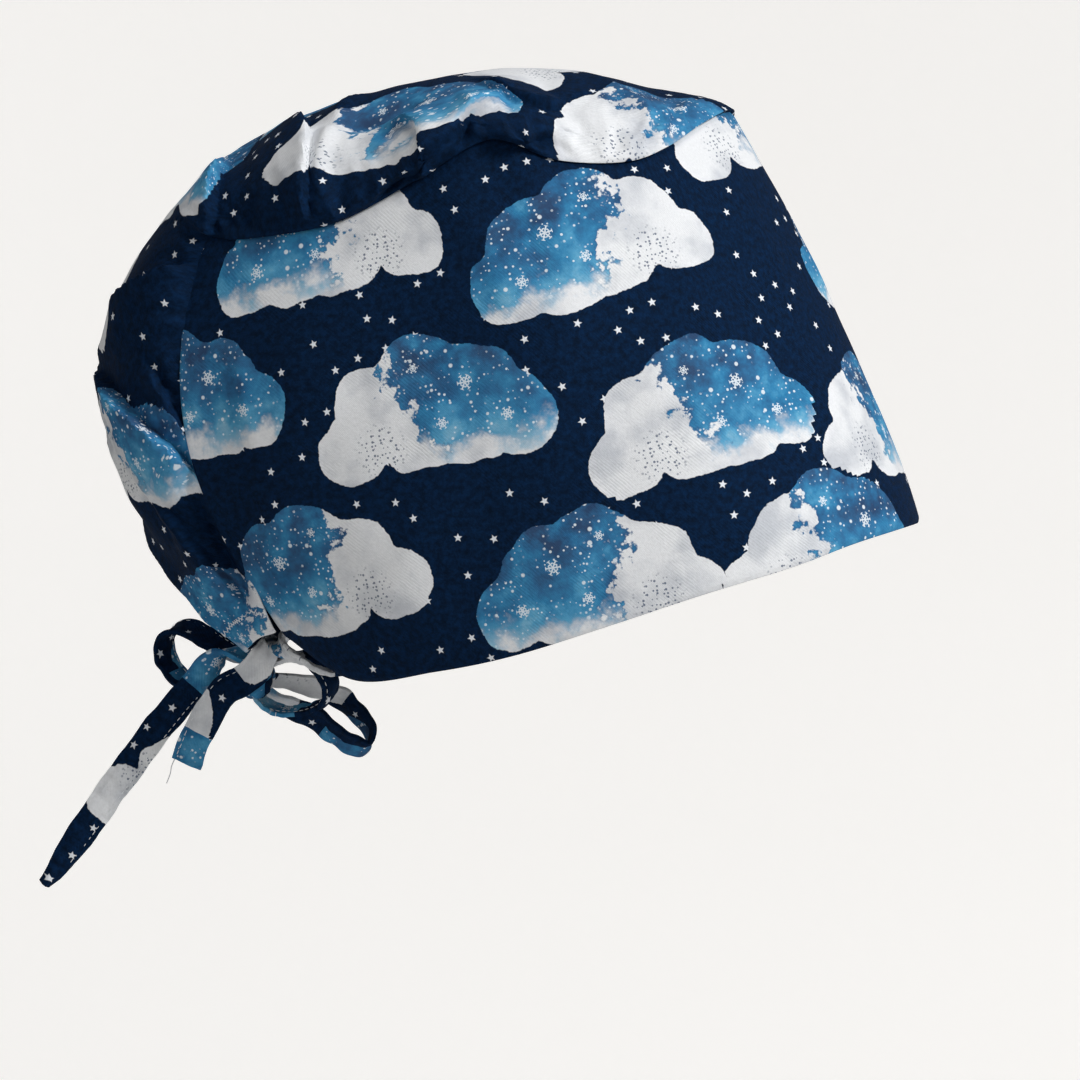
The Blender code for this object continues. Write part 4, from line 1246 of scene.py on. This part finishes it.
def lead_route(rows, side):
    """A tie's first stretch, from under the hem to the knot; side is -1 on the wearer's right."""
    start = band_base(np.array(side * TIE_STATION), np.array(0.0)) - [0.0, 0.0, TIE_GAP + CLOTH / 2]
    run = knot_centre - start
    inward, back, rise_share, flat_back, flat_inward, flat_up, width = np.array(rows).T
    places = start + np.stack([run[0] * inward, run[1] * back, np.linalg.norm(run) * rise_share], axis=1)
    return np.column_stack([places, -side * flat_inward, flat_back, flat_up, width])


# %% A tie along its route
def tie_line(route, pace_mm=0.25):
    """The route as close samples: place, flat direction, width share, face direction, and run in mm."""
    length = np.sum(steps_of(route[:, :3]))
    line = row_values(route, np.linspace(0, len(route) - 1, int(length / MM / pace_mm)))
    along = unit(np.gradient(line[:, :3], axis=0))
    flat = unit(line[:, 3:6] - along * np.sum(line[:, 3:6] * along, axis=1, keepdims=True))
    run = run_of(steps_of(line[:, :3])) / MM
    return line[:, :3], flat, line[:, 6], np.cross(along, flat), run


def tie_point(line, at_mm, across_mm):
    """Points of the tie's middle sheet at places along and across it, with its face directions."""
    places, flat, _, face, run = line
    middle, flat_way, face_way = (points_at(at_mm, run, part) for part in (places, flat, face))
    return middle + unit(flat_way) * across_mm[..., None] * MM, unit(face_way)


def edge_ridge(share, side):
    """The low ridge of the turned edges under the stitches, higher on the edge that closes the strip."""
    return 0.28 * np.exp(-(((share - 0.72) / 0.12) ** 2)) * np.where(side > 0, 1.0, 0.3)


def make_tie(solid, route, clouds, seed):
    """A printed tie in place of its solid; returns its line."""
    line = tie_line(route)
    run = line[4]
    mesh, along_share, across_share = flat_grid(solid + "_cloth", int(run[-1] / TIE_PACE_MM), TIE_LINES)
    at_mm = along_share * run[-1]
    half = np.interp(at_mm, run, line[2]) * TIE_WIDTH_MM / 2
    side = 2 * eased(across_share, 0.4) - 1
    half = half * (1 + 0.035 * np.sin(at_mm / 2.3 + seed + side) + 0.03 * np.sin(at_mm / 4.1 + 2 * side))
    points, face = tie_point(line, at_mm, side * half)
    lift = TIE_CUP_MM * (side**2 - 0.4) + 0.34 * ripples(points, 9, seed)
    lift += 0.16 * ripples(points, 4, seed + 1)
    lift += edge_ridge(np.abs(side), side)
    end_roll = np.exp(-(run[-1] - at_mm) / 11.0) * (side**2 - 0.3) * np.where(side > 0, 1.3, 0.5)
    lift += ROLLED_ENDS_MM.get(solid, 0.0) * end_roll
    lift += HEMMED_ENDS_MM.get(solid, 0.0) * np.exp(-(((run[-1] - 2.0 - at_mm) / 2.0) ** 2))
    points = points + face * lift[:, None] * MM
    chart = np.column_stack([at_mm, side * half])
    corners, faces, middles = face_middles(mesh, chart)
    dice = np.random.default_rng(seed)
    star_runs = np.arange(6, run[-1], TIE_STAR_PACE_MM)
    star_runs = star_runs + dice.uniform(-3, 3, len(star_runs))
    stars = np.column_stack([star_runs, dice.uniform(-3.5, 3.5, len(star_runs))])
    nearest = np.argmin(np.linalg.norm(middles[:, None] - stars[None], axis=2), axis=1)[faces]
    star_values = np.column_stack([chart[corners] - stars[nearest], np.ones(len(corners))])
    write_corner_arrows(mesh, "star_place", star_values)
    clouds = np.array(clouds, float)
    nearest = np.argmin(np.abs(middles[:, None, 0] - clouds[None, :, 0]), axis=1)[faces]
    angle = np.radians(clouds[nearest, 3])
    gap = chart[corners] - np.column_stack([clouds[nearest, 0], 0 * angle])
    cloud_values = np.column_stack([
        gap[:, 0] * np.cos(angle) + gap[:, 1] * np.sin(angle) + clouds[nearest, 1],
        gap[:, 1] * np.cos(angle) - gap[:, 0] * np.sin(angle) + clouds[nearest, 2],
        nearest + seed * 3.0,
    ])
    write_corner_arrows(mesh, "cloud_place", cloud_values)
    write_thread_map(mesh, chart)
    tie = finish_cloth(mesh, points, [tie_print], TIE_WALL_MM, WALL_BOTH_WAYS)
    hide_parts(solid)
    print(solid, "length, mm:", round(run[-1]))
    return line


right_route = np.vstack([lead_route(RIGHT_LEAD, -1), knot_route("short_tail")])
routes_from_band = {"right_tie": right_route, "left_tie": lead_route(LEFT_LEAD, 1)}
# each cloud's run along the tie, that point's place in the cloud in millimetres, and the cloud's angle
TIE_CLOUDS = {
    "right_tie": ((16, -25, 0, 0), (54, -25, 0, 180), (88, -40, -3, 75), (106, 14, 0, 20)),
    "left_tie": ((40, -30, -16, 30),),
    "rear_loop": ((8, 30, -10, 60), (40, 44, 10, 90), (70, 20, 22, 0)),
    "near_loop": ((12, -38, -10, 60), (44, 44, 8, 90), (66, 30, -8, 70)),
    "nape_loop": ((12, 30, -16, 40), (50, 20, 20, 20), (88, -30, -6, 90)),
    "long_tail": ((12, 20, -3, 0), (48, -6, -22, 205), (148, 110, 0, 0)),
}
FIRST_TIE_SEED = 31

tie_lines = {}
for order, (solid, clouds) in enumerate(TIE_CLOUDS.items()):
    route = routes_from_band[solid] if solid in routes_from_band else knot_route(solid)
    tie_lines[solid] = make_tie(solid, route, clouds, FIRST_TIE_SEED + 2 * order)

# %% [markdown]
# ## The knot
#
# Where the ties cross they bunch up. The knot is a small core with two turns of tie pulled tight over it.
# A turn is the same strip as before, on a closed ring, with pleats because it is squeezed narrow.

# %% Knot
KNOT_SIZE = np.array([0.0130, 0.0120, 0.0160])
CORE_SHARE = 0.86  # the core's size as a share of the knot's
TURN_WALL_MM = 1.3
TURN_COLUMNS = 72
TURN_LINES = 16
TURN_LENGTH_MM = 36


def knot_turn(name, axis, radius, width_mm, seed, shift=(0.0, 0.0, 0.0)):
    """One tight turn of tie round the knot; radius has two values, for an oval ring across the axis."""
    mesh, round_share, across_share = flat_grid(name, TURN_COLUMNS, TURN_LINES)
    axis = unit(np.array(axis, float))
    first = unit(np.cross(axis, [0.0, 0.3, 1.0]))
    second = np.cross(axis, first)
    angle = round_share * 2 * np.pi
    side = 2 * across_share - 1
    pleat = 0.35 * np.sin(side * 7 + 2 * np.sin(angle + seed)) + 0.25 * np.sin(3 * angle + seed)
    reach = radius[0] * np.cos(angle) ** 2 + radius[1] * np.sin(angle) ** 2
    reach = reach + (pleat - 1.2 * side**2 - 2.6 * side**6) * MM
    ring = np.cos(angle)[:, None] * first + np.sin(angle)[:, None] * second
    skew = 0.8 * np.sin(angle + seed)
    sideways = axis * (side * width_mm / 2 + skew)[:, None] * MM
    points = knot_centre + np.array(shift) * MM + ring * reach[:, None] + sideways
    chart = np.column_stack([round_share * TURN_LENGTH_MM, side * width_mm / 2])
    mesh.vertices.foreach_set("co", points.astype(np.float32).ravel())
    corners, _ = corner_points(mesh)
    cloud_number = np.full(len(corners), 50.0 + seed)
    in_cloud = chart[corners] + [18.0 * seed - 30, 10.0]
    in_star = chart[corners] - [9.0, 1.0]
    write_corner_arrows(mesh, "cloud_place", np.column_stack([in_cloud, cloud_number]))
    write_corner_arrows(mesh, "star_place", np.column_stack([in_star, np.ones(len(corners))]))
    write_thread_map(mesh, chart)
    joined = bmesh.new()
    joined.from_mesh(mesh)
    bmesh.ops.remove_doubles(joined, verts=joined.verts, dist=1e-6)
    bmesh.ops.recalc_face_normals(joined, faces=joined.faces)
    joined.to_mesh(mesh)
    joined.free()
    points = np.zeros(len(mesh.vertices) * 3)
    mesh.vertices.foreach_get("co", points)
    turn = finish_cloth(mesh, points.reshape(-1, 3), [tie_print], TURN_WALL_MM, WALL_BOTH_WAYS)


core = bmesh.new()
bmesh.ops.create_uvsphere(core, u_segments=32, v_segments=20, radius=0.5)
for corner in core.verts:
    way = np.array(corner.co)
    crumple = 1 + 0.05 * math.sin(9 * way[0] + 14 * way[2]) + 0.04 * math.sin(16 * way[1] - 7 * way[2])
    corner.co = Vector(knot_centre + way * KNOT_SIZE * CORE_SHARE * crumple)
core_mesh = bpy.data.meshes.new("knot_core")
core_mesh.uv_layers.new(name="threads")
core.to_mesh(core_mesh)
core.free()
core_mesh.materials.append(facing)
core_mesh.shade_smooth()
knot_core = put_in_scene("knot_core", core_mesh)
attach(knot_core, "root")
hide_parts("bow_knot")
knot_turn("knot_turn_low", (0.25, 0.95, 0.15), (0.0076, 0.0062), 8.0, 1)
knot_turn("knot_turn_high", (0.1, 0.55, 0.85), (0.0068, 0.0062), 7.0, 2, (-0.6, 0.4, 1.0))
print("knot: a core and two turns of tie")

# %% [markdown]
# ## Stitches
#
# The ties are closed by a row of white machine stitches along one edge, the pouch's hem by a small
# zigzag. A stitch is a short, slightly fat bead of thread. One coarse bead is repeated along each row,
# which keeps hundreds of stitches light, and it shows from every side as real thread.


# %% Stitch rows
STITCH_PACE_MM = 2.6
STITCH_INSET_MM = 1.5
TIE_STITCH_MM = (1.7, 0.30)  # length and thickness
ZIGZAG_STITCH_MM = (2.6, 0.38)
LOOSE_THREAD_MM = (0.9, 0.42)


def stitch_rows(name, middles, ways, outs, length_mm, thick_mm):
    """One mesh of beads of thread: middles, directions and outward arrows, one of each for every stitch."""
    beads = bmesh.new()
    for middle, way, out in zip(middles, ways, outs):
        made = bmesh.ops.create_uvsphere(beads, u_segments=6, v_segments=6, radius=0.5)["verts"]
        over = np.cross(out, way)
        for corner in made:
            shape = np.array(corner.co) * np.array([thick_mm, thick_mm, length_mm]) * MM
            corner.co = Vector(middle + over * shape[0] + out * shape[1] + way * shape[2])
    mesh = bpy.data.meshes.new(name)
    bmesh.ops.recalc_face_normals(beads, faces=beads.faces)
    beads.to_mesh(mesh)
    beads.free()
    mesh.materials.append(thread_white)
    mesh.shade_smooth()
    row = put_in_scene(name, mesh)
    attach(row, "root")
    print(name, "stitches:", len(middles))


def tie_stitches(name, line, from_mm, to_mm, side, top):
    """Stitches along one edge of a tie, on the face that top names with 1 or -1."""
    at_mm = np.arange(from_mm, to_mm, STITCH_PACE_MM)
    half = np.interp(at_mm, line[4], line[2]) * TIE_WIDTH_MM / 2
    middles, face = tie_point(line, at_mm, side * (half - STITCH_INSET_MM))
    ahead, _ = tie_point(line, at_mm + 0.5, side * (half - STITCH_INSET_MM))
    share = 1 - STITCH_INSET_MM / half
    lift = TIE_CUP_MM * (share**2 - 0.4) + edge_ridge(share, side) + top * (TIE_WALL_MM / 2 + 0.05)
    places = middles + face * lift[:, None] * MM
    stitch_rows(name, places, unit(ahead - middles), face * top, *TIE_STITCH_MM)


right_end = tie_lines["right_tie"][4][-1]
# tie, where its stitches start, how far before its end they stop, and the edge that they follow
STITCHED_TIES = (
    ("right_tie", right_end - 42, 0.8, 1),
    ("long_tail", 14, 12, -1),
    ("near_loop", 8, 10, 1),
    ("rear_loop", 10, 10, -1),
)
for face_side, word in ((1, "outer"), (-1, "inner")):
    for solid, start_mm, short_mm, edge_side in STITCHED_TIES:
        line = tie_lines[solid]
        end_mm = line[4][-1] - short_mm
        tie_stitches(solid + "_stitches_" + word, line, start_mm, end_mm, edge_side, face_side)

# %% Zigzag along the pouch's hem
ZIGZAG_LINE = -6  # the line of the crown's grid that the zigzag follows, counted from the hem
ZIGZAG_REACH = 0.93  # share of the way to each side of the pouch
ZIGZAG_STITCHES = 92

zigzag_across = np.linspace(-ZIGZAG_REACH, ZIGZAG_REACH, ZIGZAG_STITCHES)
column_at = crown_across.reshape(-1, width_count)[0]
hem_points = crown_leaned.reshape(-1, width_count, 3)[ZIGZAG_LINE]
hem_normals = crown_normals.reshape(-1, width_count, 3)[ZIGZAG_LINE]
row_points = points_at(zigzag_across, column_at, hem_points)
row_outs = unit(points_at(zigzag_across, column_at, hem_normals))
row_ways = unit(np.gradient(row_points, axis=0))
row_up = np.cross(row_outs, row_ways)
slants = np.where(np.arange(ZIGZAG_STITCHES) % 2 == 0, 1.0, -1.0)[:, None]
zigzag_points = row_points + row_outs * 0.15 * MM
stitch_rows("pouch_hem_zigzag", zigzag_points, unit(row_ways + row_up * slants), row_outs, *ZIGZAG_STITCH_MM)

# %% Loose thread at the short tail
THREAD_BEADS = 24

corner_start, _ = tie_point(tie_lines["right_tie"], np.array([right_end - 0.3]), np.array([4.3]))
drop = np.array([[0, 0, 0], [0.0, 1.2, -2.8], [0.2, 1.8, -5.6], [0.2, 3.0, -8.6]]) * MM
hairs = row_values(corner_start[0] + drop, np.linspace(0, 3, THREAD_BEADS))
hair_outs = np.tile([-1.0, 0.0, 0.0], (THREAD_BEADS, 1))
stitch_rows("loose_thread", hairs, unit(np.gradient(hairs, axis=0)), hair_outs, *LOOSE_THREAD_MM)

# %% [markdown]
# ## Studio
#
# The cap hangs in the pose that a head gives it, over a pale floor that sweeps up into a round wall, so
# that no horizon shows from any side. One big soft light stands ahead and above on the camera's side; the
# back of the pouch falls into shade, which is what makes the folds readable.

# %% Floor
FLOOR_DROP = 0.45
FLOOR_GLOW = 0.56  # what the camera alone sees, so that a pale floor needn't light the cap from below
# distance from the middle and height, in metres
floor_profile = (
    (0.0, 0.0), (0.8, 0.0), (1.4, 0.03), (2.0, 0.13), (2.6, 0.34),
    (3.1, 0.68), (3.5, 1.15), (3.8, 1.8), (4.0, 2.6), (4.1, 3.6),
)
sweep = bmesh.new()
rim = [sweep.verts.new((reach, 0.0, height - FLOOR_DROP)) for reach, height in floor_profile]
edges = [sweep.edges.new(pair) for pair in zip(rim, rim[1:])]
bmesh.ops.spin(
    sweep, geom=rim + edges, cent=(0, 0, 0), axis=(0, 0, 1), angle=2 * math.pi, steps=64, use_merge=True
)
bmesh.ops.remove_doubles(sweep, verts=sweep.verts, dist=1e-5)
bmesh.ops.recalc_face_normals(sweep, faces=sweep.faces)
bmesh.ops.reverse_faces(sweep, faces=sweep.faces)
floor_mesh = bpy.data.meshes.new("floor")
sweep.to_mesh(floor_mesh)
sweep.free()
floor_mesh.shade_smooth()
floor_material = bpy.data.materials.new("pale floor")
floor_material.use_nodes = True
floor_shader = floor_material.node_tree.nodes["Principled BSDF"]
floor_seen = floor_material.node_tree.nodes.new("ShaderNodeLightPath").outputs["Is Camera Ray"]
floor_shader.inputs["Base Color"].default_value = srgb(214, 213, 211)
floor_shader.inputs["Roughness"].default_value = 0.9
floor_shader.inputs["Specular IOR Level"].default_value = 0.0
floor_shader.inputs["Emission Color"].default_value = srgb(244, 242, 240)
glow = times(floor_material.node_tree, floor_seen, FLOOR_GLOW)
floor_material.node_tree.links.new(glow, floor_shader.inputs["Emission Strength"])
floor_mesh.materials.append(floor_material)
floor = put_in_scene("floor", floor_mesh)
print("floor below the origin, m:", FLOOR_DROP)


# %% Lights
def soft_light(name, place, aim, size, watts):
    """A round white area light that the camera doesn't see, aimed at a point."""
    light = bpy.data.lights.new(name, "AREA")
    light.shape = "DISK"
    light.size = size
    light.energy = watts
    lamp = put_in_scene(name, light)
    lamp.location = place
    lamp.rotation_mode = "QUATERNION"
    lamp.rotation_quaternion = (Vector(aim) - Vector(place)).to_track_quat("-Z", "Y")
    lamp.visible_camera = False


soft_light("key", (-1.2, -2.1, 1.5), (0.0, 0.0, 0.05), 0.8, 60.0)
soft_light("fill", (-2.4, 0.5, 0.5), (0.0, 0.0, 0.0), 1.8, 5.0)
soft_light("top", (-0.3, -0.2, 2.4), (0.0, 0.0, 0.0), 1.0, 13.0)
soft_light("backdrop left", (1.6, 2.2, 0.9), (4.0, 0.8, 0.1), 1.0, 5.0)
soft_light("backdrop right", (1.6, -1.2, 0.9), (4.0, 0.8, 0.1), 1.0, 5.0)
world = bpy.data.worlds.new("studio")
world.use_nodes = True
world.node_tree.nodes["Background"].inputs[0].default_value = (1.0, 1.0, 1.0, 1.0)
world.node_tree.nodes["Background"].inputs[1].default_value = 0.18
bpy.context.scene.world = world
bpy.context.scene.view_settings.view_transform = "Standard"
